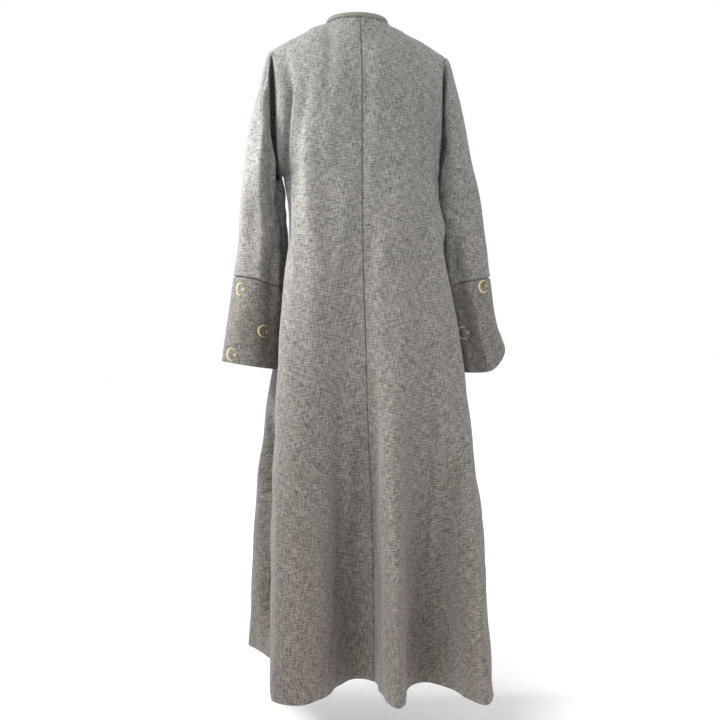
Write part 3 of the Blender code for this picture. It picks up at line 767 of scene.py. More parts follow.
    def shaped(self, strength):
        """The surface with its creases and waves, dips into the seams, and a hairline off each sewn edge."""
        centre, side, top = self.across, self.across[:, -1:] - self.across, self.along[-1:] - self.along
        depth = crease_depth(self.across, self.height, PANEL_CREASES[self.name])
        depth += wave_depth(self.across * self.sign, self.height)
        depth *= strength
        sewn = (centre, side, top) if self.is_back else (side, top)
        for distance in sewn:
            depth *= smooth_step(distance / SEAM_CALM)
        depth += seam_dip(side)
        on_neck = smooth_step((1 - self.neck_share) / NECK_SEAM_FADE)
        depth += seam_dip(top - NECK_SEAM_PLACE, NECK_SEAM_DEPTH, NECK_SEAM_WIDTH) * on_neck
        if self.is_back:
            depth += seam_dip(centre) * smooth_step(top / SEAM_CALM)
            width = CENTRE_VALLEY_WIDTHS[self.side_name]
            depth += seam_dip(centre, CENTRE_VALLEY_DEPTH, width) * smooth_step(top / CENTRE_VALLEY_START)
        start, full = SIDE_VALLEY_HEIGHTS
        low = smooth_step((start - self.height) / (start - full))
        depth += seam_dip(side, *SIDE_VALLEYS[self.side_name]) * low
        grid = self.plain + self.even_normals() * depth[:, :, None]
        if self.is_back:
            draw_in(grid[:, 0], grid[:, 2], SEAM_HAIRLINE)
        draw_in(grid[:, -1], grid[:, -3], SEAM_HAIRLINE)
        draw_in(grid[-1], grid[-3], SEAM_HAIRLINE)
        return grid

    def even_normals(self):
        """The surface's normals, evened out across the crowded rows just above the underarm."""
        normals = outward_normals(self.plain, False, self.flipped)
        first = self.underarm_row - 1
        last = self.underarm_row + np.searchsorted(self.rises, CROWDED_RISE)
        start, end = self.along[first], self.along[last]
        for row in range(first + 1, last):
            share = (self.along[row] - start) / (end - start)
            normals[row] = mix(normals[first], normals[last], share[:, None])
        return normals / np.linalg.norm(normals, axis=2)[:, :, None]

    def threads(self):
        """Each point's place on the flat cloth: the weave runs straight down the centre edge."""
        underarm = self.along[: self.underarm_row + 1].mean(axis=1)
        yoke = self.along[self.underarm_row + 1 :] - self.along[self.underarm_row]
        level = np.broadcast_to(underarm[:, None], (len(underarm), len(self.columns)))
        up = np.concatenate([level, underarm[-1] + yoke])
        return np.stack([self.across * self.sign, up], axis=2)


def draw_in(edge, inside, distance):
    """Moves an edge's points towards the ones inside it."""
    way = inside - edge
    edge += way / np.linalg.norm(way, axis=1)[:, None] * distance


def sleeve_section(rows, angle, z):
    """Points of the sleeve tube: at an angle of 0 on its outer side, and a quarter turn on at the back."""
    heights = [-row["z"] for row in rows]

    def value(column):
        return monotone_curve(heights, [row[column] for row in rows], -z)

    outer, inner = value("outer_x"), value("inner_x")
    x = (outer + inner) / 2 + (outer - inner) / 2 * np.cos(angle)
    y = value("middle_y") + value("half_depth") * np.sin(angle)
    return x, y


def shares_with_ends(parts, length, start, end):
    """Even shares from 0 to 1, with closer ones beside the ends that are asked for."""
    close = np.array(HEM_EDGE_ROWS[1:]) / length
    shares = [np.linspace(0, 1, parts + 1)]
    if start:
        shares.append(close)
    if end:
        shares.append(1 - close)
    return np.unique(np.concatenate(shares))


class Sleeve:
    """A sleeve and its cuff: the armhole's loop, a cap that turns down from it, and a tube to the wrist."""

    def __init__(self, side, back, front):
        self.side_name = side
        self.sign = back.sign
        self.flipped = self.sign < 0
        self.rows = named_rows(SLEEVE_COLUMNS, SLEEVES[side])
        self.seam = dict(zip(CUFF_COLUMNS, CUFF_SEAMS[side]))
        self.end = dict(zip(CUFF_COLUMNS, CUFF_ENDS[side]))
        back_edge, back_way = back.armhole_loop()
        front_edge, front_way = front.armhole_loop()
        self.loop = np.concatenate([back_edge, front_edge[-2:0:-1]])
        self.way = np.concatenate([back_way, front_way[-2:0:-1]])
        rises = back.rises
        self.angle = np.concatenate([math.pi * (1 - rises), -math.pi * (1 - rises[-2:0:-1])])
        self.top_share = (1 + np.cos(self.angle)) / 2
        self.tubes = {"sleeve": self.sleeve_grid(), "cuff": self.cuff_grid()}

    def tube(self, z):
        x, y = sleeve_section(self.rows, self.angle, z)
        return np.stack([self.sign * x, y, z], axis=1)

    def ring_height(self, ring):
        rise = ring["outer_rise"] * self.top_share ** ring["lateness"]
        return ring["inner_z"] + rise + ring["front_rise"] * (1 - np.sin(self.angle)) / 2

    def sleeve_grid(self):
        rings = [self.loop + self.way * place for place in (SEAM_HAIRLINE, *SEAM_PLACES, SEAM_STRIP)]
        drop = mix(UNDERARM_CAP_SHARE, 1.0, self.top_share) * CAP_LENGTH
        cap_end = self.loop[:, 2] - drop
        end = self.tube(cap_end)
        end_way = (self.tube(cap_end - SEAM_STRIP) - end) / SEAM_STRIP
        pull = mix(UNDERARM_PULL, SHOULDER_PULL, self.top_share)[:, None]
        start = rings[-1]
        for k in range(1, CAP_ROWS + 1):
            rings.append(hermite(start, self.way * pull, end, end_way * drop[:, None], k / CAP_ROWS))
        self.cap_end_row = len(rings) - 1
        seam = self.ring_height(self.seam)
        length = float((cap_end - seam).mean())
        for share in shares_with_ends(SLEEVE_ROWS, length, False, True)[1:]:
            rings.append(self.tube(mix(cap_end, seam + SEAM_HAIRLINE / 2, share)))
        return np.array(rings)

    def cuff_grid(self):
        seam = self.ring_height(self.seam) - SEAM_HAIRLINE / 2
        end = self.ring_height(self.end)
        length = float((seam - end).mean())
        self.cuff_shares = shares_with_ends(CUFF_ROWS, length, True, True)
        return np.array([self.tube(mix(seam, end, share)) for share in self.cuff_shares])

    def shaped(self, part, strength):
        """The sleeve or the cuff with its creases and waves and its dips into the seams."""
        grid = self.tubes[part]
        across = np.broadcast_to(self.angle * SLEEVE_RADIUS, grid.shape[:2])
        around = lengths_along(np.concatenate([grid, grid[:, :1]], axis=1), 1)
        along = lengths_along(grid, 0)
        from_underarm = np.minimum(around, around[:, -1:] - around)[:, :-1]
        from_cuff_seam = along if part == "cuff" else along[-1:] - along
        creases = [
            (math.radians(a1) * SLEEVE_RADIUS, z1, math.radians(a2) * SLEEVE_RADIUS, z2, *rest)
            for a1, z1, a2, z2, *rest in SLEEVE_CREASES[self.side_name]
        ]
        depth = crease_depth(across, grid[:, :, 2], creases, math.tau * SLEEVE_RADIUS)
        depth += wave_depth(across, grid[:, :, 2])
        depth *= strength
        if part == "sleeve":
            depth *= smooth_step(along / SEAM_CALM)
            depth += seam_dip(along)
            depth -= seam_dip(from_cuff_seam - SEAM_ROLL_PLACE, SEAM_ROLL_HEIGHT, SEAM_ROLL_WIDTH)
        depth += seam_dip(from_underarm)
        depth += seam_dip(from_cuff_seam, CUFF_SEAM_DEPTH, CUFF_SEAM_WIDTH)
        shaped = grid + outward_normals(grid, True, self.flipped) * depth[:, :, None]
        if part == "sleeve":
            shaped[:, :, 1] -= self.armhole_groove(along)
        return shaped

    def armhole_groove(self, along):
        """How far the sleeve sinks in beside the armhole: forwards at the back, backwards at the front."""
        reach, depth = ARMHOLE_GROOVES[self.side_name]
        turned = np.degrees(np.abs(self.angle))
        near_shoulder, grown, fading, near_underarm = GROOVE_ANGLES
        weight = smooth_step((turned - near_shoulder) / (grown - near_shoulder))
        weight *= smooth_step((near_underarm - turned) / (near_underarm - fading))
        near, far = along / GROOVE_NEAR_SLOPE, (reach * weight - along) / GROOVE_FAR_SLOPE + 1
        slot = smooth_step(near) * smooth_step(far)
        return depth * weight * slot * np.where(self.angle > 0, 1.0, -FRONT_GROOVE_SHARE)

    def threads(self, part):
        """Each point's place on the flat cloth, along from the cuff seam and round from the outer side."""
        grid = self.tubes[part]
        rings = np.concatenate([grid, grid[:, :1]], axis=1)
        turned = np.append(self.angle, self.angle[0] - math.tau)
        radius = lengths_along(rings[:, :, :2], 1)[:, -1:] / math.tau
        if part == "cuff":
            return np.stack([self.sign * turned * radius, -lengths_along(rings, 0)], axis=2)
        end = self.cap_end_row
        toward = np.clip(turned, -math.pi / 2, math.pi / 2)
        radius[:end] = radius[end]
        aside = lengths_along(rings[end::-1, :, :2], 0)[::-1]
        across = turned * radius
        across[: end + 1] += aside * np.sin(toward)
        along = lengths_along(rings[:end:-1], 0)[::-1]
        cap = rings[: end + 1, :, 2] - rings[end, :, 2] + along[0] + aside * np.cos(toward)
        return np.stack([self.sign * across, np.concatenate([cap, along])], axis=2)


def neck_band_grid():
    """The band's rows, each along all four necklines in turn, carried on upwards from the cloth."""
    edges, ways, ends = [], [], []
    for name, reverse in BAND_ORDER.items():
        edge, way = surfaces()[name].neckline()
        if reverse:
            edge, way = edge[::-1], way[::-1]
        start = 1 if edges else 0
        edges.extend(edge[start:])
        ways.extend(way[start:])
        ends.append(len(edges) - 1)
    edges, ways = np.array(edges), np.array(ways)
    tall = np.full((len(edges), 1), BAND_HEIGHT)
    for tip in ends[::2]:
        away = np.linalg.norm(edges - edges[tip], axis=1)[:, None]
        near = np.exp(-((away / BAND_TIP_REACH) ** 2))
        shares = np.exp(-((away / BAND_TIP_BLUR) ** 2))
        level = (ways * shares).sum(axis=0) / shares.sum()
        ways = mix(ways, level / np.linalg.norm(level), near)
        tall *= 1 - BAND_TIP_DROP * near
    shares = np.linspace(0, 1, BAND_ROWS + 1)
    grid = np.array([edges + ways * mix(-BAND_OVERLAP, tall, share) for share in shares])
    bulge = BAND_BULGE * np.sin(math.pi * shares) ** BAND_ROUNDNESS
    return grid + outward_normals(grid, False, False) * bulge[:, None, None]


@functools.lru_cache(maxsize=1)
def surfaces():
    """The four panels and the two sleeves, worked out once."""
    made = {name: Panel(name) for name in FOLDS}
    for side in SIDES:
        made[side] = Sleeve(side, made["back_" + side], made["front_" + side])
    return made


def placed(name, mesh):
    piece = bpy.data.objects.new(name, mesh)
    bpy.context.scene.collection.objects.link(piece)
    return piece


def cloth_piece(node, grid, threads, wall, closed, flipped, material):
    """A thin wall of cloth in place of a node: an open surface, which Solidify thickens inwards."""
    name = node + "_cloth"
    rows, columns = grid.shape[:2]
    last = columns if closed else columns - 1
    row, column = np.meshgrid(np.arange(rows - 1), np.arange(last), indexing="ij")

    def corners(width):
        across = (column + 1) % width
        below, above = row * width, (row + 1) * width
        places = np.stack([below + column, below + across, above + across, above + column], axis=-1)
        places = places.reshape(-1, 4)
        return places[:, ::-1] if flipped else places

    mesh = bpy.data.meshes.new(name)
    mesh.from_pydata(grid.reshape(-1, 3).tolist(), [], corners(columns).tolist())
    layer = mesh.uv_layers.new(name="Threads")
    flat = threads.reshape(-1, 2)[corners(threads.shape[1]).reshape(-1)]
    layer.data.foreach_set("uv", flat.astype(np.float32).ravel())
    mesh.shade_smooth()
    mesh.materials.append(material)
    piece = placed(name, mesh)
    thicken = piece.modifiers.new("Wall", "SOLIDIFY")
    thicken.thickness = wall
    thicken.offset = -1
    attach(piece, "root")
    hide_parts(node)


def lines_piece(name, lines):
    """Loose lines of points as one object. A line is (points, whether it closes on itself)."""
    points, edges = [], []
    for line, closes in lines:
        first, count = len(points), len(line)
        points.extend(np.asarray(line).tolist())
        edges.extend((first + k, first + k + 1) for k in range(count - 1))
        if closes:
            edges.append((first + count - 1, first))
    mesh = bpy.data.meshes.new(name)
    mesh.from_pydata(points, edges, [])
    return placed(name, mesh)


def line_beside(grid, distance, wanted):
    """Across a grid whose distance grows along each row, the line of points where it has the wanted value."""
    line = []
    for points, steps in zip(grid, distance):
        line.append([np.interp(wanted, steps, points[:, axis]) for axis in range(3)])
    return np.array(line)


def set_inputs(tree, node, inputs):
    """Gives a node's inputs values, or links them to other nodes' sockets."""
    for key, value in inputs.items():
        if isinstance(value, bpy.types.NodeSocket):
            tree.links.new(value, node.inputs[key])
        else:
            node.inputs[key].default_value = value


def add_node(tree, kind, inputs=None, **settings):
    node = tree.nodes.new(kind)
    for name, value in settings.items():
        setattr(node, name, value)
    set_inputs(tree, node, inputs or {})
    return node


def output_of(tree, kind, inputs=None, **settings):
    """The first output of a new node."""
    return add_node(tree, kind, inputs, **settings).outputs[0]


def new_group(name, kind, inputs, outputs):
    """A node group with named sockets: its tree, what it is given, and the node that takes its results.

    inputs are (name, socket type, default) and outputs (name, socket type).
    """
    tree = bpy.data.node_groups.new(name, kind)
    for label, socket_type, default in inputs:
        socket = tree.interface.new_socket(name=label, in_out="INPUT", socket_type=socket_type)
        if default is not None:
            socket.default_value = default
    for label, socket_type in outputs:
        tree.interface.new_socket(name=label, in_out="OUTPUT", socket_type=socket_type)
    return tree, add_node(tree, "NodeGroupInput").outputs, add_node(tree, "NodeGroupOutput")


def new_material(name):
    """A material, its tree and its shader."""
    material = bpy.data.materials.new(name)
    material.use_nodes = True
    tree = material.node_tree
    return material, tree, tree.nodes["Principled BSDF"]


def calculate(tree, operation, *values):
    return output_of(tree, "ShaderNodeMath", dict(enumerate(values)), operation=operation)


def scaled_place(tree, place, scale):
    return output_of(tree, "ShaderNodeVectorMath", {"Vector": place, "Scale": scale}, operation="SCALE")


def mix_values(tree, factor, first, second):
    return output_of(tree, "ShaderNodeMix", {0: factor, 2: first, 3: second}, data_type="FLOAT")


def mix_colours(tree, blend, factor, first, second):
    inputs = {0: factor, 6: first, 7: second}
    return add_node(tree, "ShaderNodeMix", inputs, data_type="RGBA", blend_type=blend).outputs[2]


def scaled_range(tree, value, low, high, to_low=0.0, to_high=1.0):
    inputs = {"Value": value, "From Min": low, "From Max": high, "To Min": to_low, "To Max": to_high}
    return output_of(tree, "ShaderNodeMapRange", inputs)


def noise(tree, place, detail):
    """Noise whose own grid is turned off the threads, so that it doesn't show."""
    turn = {"Vector": place, "Angle": NOISE_TURN}
    turned = output_of(tree, "ShaderNodeVectorRotate", turn, rotation_type="Z_AXIS")
    inputs = {"Vector": turned, "Scale": 1.0, "Detail": detail, "Roughness": 0.5}
    return output_of(tree, "ShaderNodeTexNoise", inputs, noise_dimensions="2D")


def woven_cloth_group():
    """Melange cloth in plain weave: uneven yarns that take turns on top, with slubs and mottling."""
    name = "Woven cloth"
    if name in bpy.data.node_groups:
        return bpy.data.node_groups[name]
    inputs = (
        ("Threads", "NodeSocketVector", None),
        ("Place", "NodeSocketVector", None),
        ("Light Yarn", "NodeSocketColor", (0.4, 0.4, 0.4, 1)),
        ("Dark Yarn", "NodeSocketColor", (0.1, 0.1, 0.1, 1)),
        ("Mottle Tint", "NodeSocketColor", (1, 0.9, 0.8, 1)),
        ("Lower Tint", "NodeSocketColor", (1, 0.9, 0.8, 1)),
        ("Yarn", "NodeSocketFloat", 0.0008),
        ("Slub Width", "NodeSocketFloat", 0.002),
        ("Slub Length", "NodeSocketFloat", 0.014),
        ("Contrast", "NodeSocketFloat", 3.0),
    )
    outputs = (("Colour", "NodeSocketColor"), ("Height", "NodeSocketFloat"), ("Roughness", "NodeSocketFloat"))
    tree, given, result = new_group(name, "ShaderNodeTree", inputs, outputs)
    weave = plain_weave(tree, given)
    relief = calculate(tree, "ABSOLUTE", weave)
    slub = yarn_on_top(tree, given, weave)
    shade = calculate(tree, "SUBTRACT", slub, 0.5)
    shade = calculate(tree, "MULTIPLY", shade, given["Contrast"])
    shade = calculate(tree, "ADD", shade, 0.5)
    # Painted shade where a yarn dips under the other, and a little painted light where it lies on top
    shade = calculate(tree, "MULTIPLY", shade, scaled_range(tree, relief, 0.0, YARN_ROUNDNESS, *YARN_DIP_SHADE_AND_TOP_LIGHT))
    shade = scaled_range(tree, shade, 0.0, 1.0)
    bumps = calculate(tree, "ADD", calculate(tree, "MULTIPLY", relief, YARN_BUMP), slub)
    rough = scaled_range(tree, shade, 0.0, 1.0, *YARN_ROUGHNESS)
    results = {"Colour": melange_colour(tree, given, shade), "Height": bumps, "Roughness": rough}
    set_inputs(tree, result, results)
    return tree


def plain_weave(tree, given):
    """The weave's wave: above 0 where the warp lies on top, below 0 where the weft does."""
    turns = calculate(tree, "DIVIDE", math.pi, given["Yarn"])
    wound = add_node(tree, "ShaderNodeSeparateXYZ", {0: scaled_place(tree, given["Threads"], turns)}).outputs
    across, along = (calculate(tree, "SINE", wound[axis]) for axis in range(2))
    return calculate(tree, "MULTIPLY", across, along)


def yarn_on_top(tree, given, weave):
    """How light the upper yarn is: its slubs are long along the warp or along the weft."""
    thin = calculate(tree, "DIVIDE", 1.0, given["Slub Width"])
    long = calculate(tree, "DIVIDE", 1.0, given["Slub Length"])
    yarns = []
    for across, along, start in ((thin, long, (0.0, 0.0, 0.0)), (long, thin, WEFT_START)):
        scale = output_of(tree, "ShaderNodeCombineXYZ", {0: across, 1: along})
        inputs = {0: given["Threads"], 1: scale, 2: start}
        place = output_of(tree, "ShaderNodeVectorMath", inputs, operation="MULTIPLY_ADD")
        yarns.append(noise(tree, place, 1.0))
    warp, weft = yarns
    return mix_values(tree, scaled_range(tree, weave, -WEAVE_EDGE, WEAVE_EDGE), weft, warp)


def melange_colour(tree, given, shade):
    """The yarns' colour with small mottles, wide patches and a browner, darker tone downwards, partly painted
    shade.
    """
    colour = mix_colours(tree, "MIX", shade, given["Dark Yarn"], given["Light Yarn"])
    for size, spread, tint in (
        (MOTTLE_SIZE, MOTTLE_SPREAD, given["Mottle Tint"]),
        (PATCH_SIZE, PATCH_SPREAD, PATCH_TINT),
    ):
        place = scaled_place(tree, given["Threads"], 1 / size)
        patch = scaled_range(tree, noise(tree, place, 2.0), *spread)
        colour = mix_colours(tree, "MULTIPLY", patch, colour, tint)
    # Browner and darker towards the hem: partly the cloth's tone, partly painted shade for the light falling
    # off downwards
    height = add_node(tree, "ShaderNodeSeparateXYZ", {0: given["Place"]}).outputs[2]
    low_share = scaled_range(tree, height, *LOWER_TONE_AND_SHADE_HEIGHTS)
    return mix_colours(tree, "MULTIPLY", low_share, colour, given["Lower Tint"])


def woven_material(name, yarns, lower_tone_and_shade, weave, sheen):
    """A cloth's material. yarns are the light and the dark one, and weave is what cloth_weave gives."""
    if name in bpy.data.materials:
        return bpy.data.materials[name]
    material, tree, shader = new_material(name)
    (light, dark), (yarn, slub_width, slub_length, contrast) = yarns, weave
    inputs = {
        "Threads": output_of(tree, "ShaderNodeUVMap", uv_map="Threads"),
        "Place": add_node(tree, "ShaderNodeTexCoord").outputs["Object"],
        "Light Yarn": (*light, 1),
        "Dark Yarn": (*dark, 1),
        "Mottle Tint": MOTTLE_TINT,
        "Lower Tint": (*lower_tone_and_shade, 1),
        "Yarn": yarn,
        "Slub Width": slub_width,
        "Slub Length": slub_length,
        "Contrast": contrast,
    }
    cloth = add_node(tree, "ShaderNodeGroup", inputs, node_tree=woven_cloth_group())
    bump = {"Height": cloth.outputs["Height"], "Strength": BUMP_STRENGTH, "Distance": BUMP_DISTANCE}
    finish = {
        "Base Color": cloth.outputs["Colour"],
        "Roughness": cloth.outputs["Roughness"],
        "Normal": output_of(tree, "ShaderNodeBump", bump),
        "Sheen Weight": sheen,
        "Sheen Roughness": SHEEN_ROUGHNESS,
        "Specular IOR Level": CLOTH_SPECULAR,
    }
    set_inputs(tree, shader, finish)
    return material


def thread_material(name, colour, metallic, roughness):
    """Sewing or embroidery thread, whose colour changes a little from one stitch to the next."""
    if name in bpy.data.materials:
        return bpy.data.materials[name]
    material, tree, shader = new_material(name)
    place = add_node(tree, "ShaderNodeTexCoord").outputs["Object"]
    spots = output_of(tree, "ShaderNodeTexNoise", {"Vector": place, "Scale": SPOT_SCALE, "Detail": 1.0})
    share = scaled_range(tree, spots, *SPOT_SPREAD)
    darker = tuple(value * SPOT_DARKNESS for value in colour)
    finish = {
        "Base Color": mix_colours(tree, "MIX", share, (*darker, 1), (*colour, 1)),
        "Roughness": scaled_range(tree, spots, *SPOT_SPREAD, roughness + SPOT_ROUGHNESS, roughness),
        "Metallic": metallic,
    }
    set_inputs(tree, shader, finish)
    return material


def hand_out(tree, geometry, given, result):
    """Ends a tree: makes any instances real and gives the whole the thread's material."""
    whole = output_of(tree, "GeometryNodeRealizeInstances", {0: geometry})
    inputs = {"Geometry": whole, "Material": given["Thread"]}
    set_inputs(tree, result, {0: output_of(tree, "GeometryNodeSetMaterial", inputs)})
    return tree


def running_stitch_tree():
    """Geometry Nodes: one small rounded stitch after another along each line."""
    name = "Running stitches"
    if name in bpy.data.node_groups:
        return bpy.data.node_groups[name]
    inputs = (
        ("Lines", "NodeSocketGeometry", None),
        ("Stitch Length", "NodeSocketFloat", 0.003),
        ("Gap", "NodeSocketFloat", 0.001),
        ("Thread Width", "NodeSocketFloat", 0.0006),
        ("Thread", "NodeSocketMaterial", None),
    )
    tree, given, result = new_group(name, "GeometryNodeTree", inputs, (("Stitches", "NodeSocketGeometry"),))
    curve = output_of(tree, "GeometryNodeMeshToCurve", {"Mesh": given["Lines"]})
    spacing = calculate(tree, "ADD", given["Stitch Length"], given["Gap"])
    points = add_node(tree, "GeometryNodeCurveToPoints", {"Curve": curve, "Length": spacing}, mode="LENGTH")
    ball = output_of(tree, "GeometryNodeMeshUVSphere", {"Segments": 6, "Rings": 4, "Radius": 0.5})
    size = {0: given["Thread Width"], 1: given["Thread Width"], 2: given["Stitch Length"]}
    stretched = {"Geometry": ball, "Scale": output_of(tree, "ShaderNodeCombineXYZ", size)}
    laid = {
        "Points": points.outputs["Points"],
        "Instance": output_of(tree, "GeometryNodeTransform", stretched),
        "Rotation": points.outputs["Rotation"],
    }
    return hand_out(tree, output_of(tree, "GeometryNodeInstanceOnPoints", laid), given, result)


def satin_thread_tree():
    """Geometry Nodes: a round thread along each line, thinner at its two ends."""
    name = "Satin threads"
    if name in bpy.data.node_groups:
        return bpy.data.node_groups[name]
    inputs = (
        ("Lines", "NodeSocketGeometry", None),
        ("Thread Width", "NodeSocketFloat", 0.0006),
        ("End Share", "NodeSocketFloat", 0.5),
        ("Sides", "NodeSocketInt", 5),
        ("Thread", "NodeSocketMaterial", None),
    )
    tree, given, result = new_group(name, "GeometryNodeTree", inputs, (("Threads", "NodeSocketGeometry"),))
    factor = add_node(tree, "GeometryNodeSplineParameter").outputs["Factor"]
    half_turn = calculate(tree, "SINE", calculate(tree, "MULTIPLY", factor, math.pi))
    radius = calculate(tree, "MULTIPLY", given["Thread Width"], 0.5)
    thin = calculate(tree, "MULTIPLY", radius, given["End Share"])
    ring = {"Resolution": given["Sides"], "Radius": 1.0}
    tube = {
        "Curve": output_of(tree, "GeometryNodeMeshToCurve", {"Mesh": given["Lines"]}),
        "Profile Curve": output_of(tree, "GeometryNodeCurvePrimitiveCircle", ring),
        "Scale": mix_values(tree, half_turn, thin, radius),
        "Fill Caps": True,
    }
    return hand_out(tree, output_of(tree, "GeometryNodeCurveToMesh", tube), given, result)


def grown(piece, tree, values):
    """Runs a Geometry Nodes tree, its inputs set by name, and keeps the result as the piece's plain mesh."""
    modifier = piece.modifiers.new(tree.name, "NODES")
    modifier.node_group = tree
    for item in tree.interface.items_tree:
        if item.in_out == "INPUT" and item.name in values:
            modifier[item.identifier] = values[item.name]
    graph = bpy.context.evaluated_depsgraph_get()
    mesh = bpy.data.meshes.new_from_object(piece.evaluated_get(graph), depsgraph=graph)
    lines = piece.data
    piece.modifiers.remove(modifier)
    piece.data = mesh
    bpy.data.meshes.remove(lines)
    mesh.shade_smooth()
    return piece


def sampled(field, row, column):
    """A closed grid's value between its points."""
    row = min(max(row, 0.0), field.shape[0] - 1 - JUST_INSIDE)
    columns = field.shape[1]
    r, c = int(row), int(column // 1)
    down, over = row - r, column - c
    near, far = c % columns, (c + 1) % columns
    first = mix(field[r, near], field[r, far], over)
    second = mix(field[r + 1, near], field[r + 1, far], over)
    return mix(first, second, down)


def turned_point(radius, degrees):
    angle = math.radians(degrees)
    return radius * np.array([math.cos(angle), math.sin(angle)])


def crescent_threads():
    """The crescent's stitches, each from its outer to its inner edge in the motif's own plane."""
    stitches = []
    for degrees in np.linspace(CRESCENT_OPENING, 360 - CRESCENT_OPENING, CRESCENT_THREADS):
        inner_angle = math.radians(degrees + CRESCENT_SLANT)
        across = CRESCENT_SHIFT * math.sin(inner_angle)
        inner = CRESCENT_SHIFT * math.cos(inner_angle) + math.sqrt(CRESCENT_INNER**2 - across**2)
        start = turned_point(CRESCENT_OUTER, degrees)
        stitches.append((start, turned_point(inner, degrees + CRESCENT_SLANT)))
    return stitches


def star_threads():
    """The star's stitches, laid across each of its points."""
    middle = np.array(STAR_MIDDLE)
    step = 360 / STAR_COUNT
    stitches = []
    for k in range(STAR_COUNT):
        turn = STAR_TURN + step * k
        tip = middle + turned_point(STAR_POINTS, turn)
        sides = [middle + turned_point(STAR_CORNERS, turn + half) for half in (step / 2, -step / 2)]
        for share in STAR_SHARES:
            toward = tip if share > 0 else middle
            stitches.append(tuple(mix(side, toward, abs(share)) for side in sides))
    return stitches


def motif_lines(side, cuff, lift):
    """The embroidery's threads on one cuff, each a line of points that rises a little off the cloth."""
    sleeve = surfaces()[side]
    normals = outward_normals(cuff, True, sleeve.flipped)
    length = float(np.linalg.norm(np.diff(cuff, axis=0), axis=2).sum(axis=0).mean())
    turned = np.append(-sleeve.angle, -sleeve.angle[0] + math.tau)
    columns, rows = np.arange(len(turned)), np.arange(len(sleeve.cuff_shares))
    stitches = crescent_threads() + star_threads()
    lines = []
    for degrees, share in itertools.chain(*MOTIFS[side]):
        for start, end in stitches:
            line = []
            for along in np.linspace(0, 1, THREAD_POINTS):
                x, y = mix(start, end, along)
                angle = math.radians(degrees) + sleeve.sign * x / SLEEVE_RADIUS
                column = np.interp((-angle - turned[0]) % math.tau + turned[0], turned, columns)
                row = np.interp(share - y / length, sleeve.cuff_shares, rows)
                rise = lift + THREAD_CROWN * math.sin(math.pi * along)
                line.append(sampled(cuff, row, column) + sampled(normals, row, column) * rise)
            lines.append((np.array(line), False))
    return lines


def colour_property(name, description, default):
    return bpy.props.FloatVectorProperty(
        name=name, description=description, default=default, size=3, min=0, max=1, subtype="COLOR"
    )


def length_property(name, description, default, least=0):
    return bpy.props.FloatProperty(
        name=name, description=description, default=default, min=least, unit="LENGTH", precision=5
    )


def number_property(name, description, default, least=0, most=100):
    return bpy.props.FloatProperty(name=name, description=description, default=default, min=least, max=most)


class KaftanCloth(bpy.types.PropertyGroup):
    """Sizes and colours of the cloth."""

    wall: length_property("Cloth thickness", "Thickness of the body, sleeve and cuff cloth", 0.0013)
    crease_strength: number_property("Crease strength", "How deep the creases and waves are", 1.0, 0, 2)
    light_yarn: colour_property("Light yarn", "Body cloth's lightest yarns", (0.37, 0.366, 0.348))
    dark_yarn: colour_property("Dark yarn", "Body cloth's darkest yarns", (0.055, 0.054, 0.051))
    # A browner, darker tone towards the hem, partly painted shade for the light falling off downwards
    lower_tone_and_shade: colour_property("Lower tone and shade", "Browner tone towards the hem", (0.88, 0.80, 0.74))
    cuff_light_yarn: colour_property("Cuff light yarn", "Cuffs' lightest yarns", (0.285, 0.266, 0.24))
    cuff_dark_yarn: colour_property("Cuff dark yarn", "Cuffs' darkest yarns", (0.036, 0.033, 0.029))
    band_light_yarn: colour_property("Band light yarn", "Neck band's lightest yarns", (0.33, 0.31, 0.275))
    band_dark_yarn: colour_property("Band dark yarn", "Neck band's darkest yarns", (0.13, 0.12, 0.105))
    yarn: length_property("Yarn width", "Width of one yarn of the weave", 0.0009)
    slub_width: length_property("Slub width", "Width of the thick places in the yarns", 0.0012)
    slub_length: length_property("Slub length", "Length of the thick places in the yarns", 0.017)
    contrast: number_property("Yarn contrast", "How much light and dark yarns differ", 3.6, 0, 10)
    sheen: number_property("Sheen", "Soft brightness of the cloth at a slant", 0.25, 0, 1)


class KaftanSewing(bpy.types.PropertyGroup):
    """Sizes and colours of the stitching and the embroidery."""

    stitch_length: length_property("Stitch length", "Length of one machine stitch", 0.0031)
    stitch_gap: length_property("Stitch gap", "Space between two stitches", 0.0012)
    thread_width: length_property("Thread width", "Width of the sewing thread", 0.0006)
    hem_depth: length_property("Hem depth", "How far above the hem its stitching runs", 0.024)
    edge_depth: length_property("Edge depth", "How far inside the front edge its stitching runs", 0.008)
    cuff_hem_depth: length_property("Cuff hem depth", "How far above its end a cuff is stitched", 0.006)
    seam_depth: length_property("Seam depth", "How far above the cuff seam a sleeve is stitched", 0.004)
    thread_colour: colour_property("Thread colour", "Colour of the sewing thread", (0.2, 0.195, 0.18))
    gold_width: length_property("Gold thread width", "Width of one embroidery thread", 0.00062)
    gold_colour: colour_property("Gold colour", "Colour of the embroidery thread", (0.92, 0.78, 0.36))


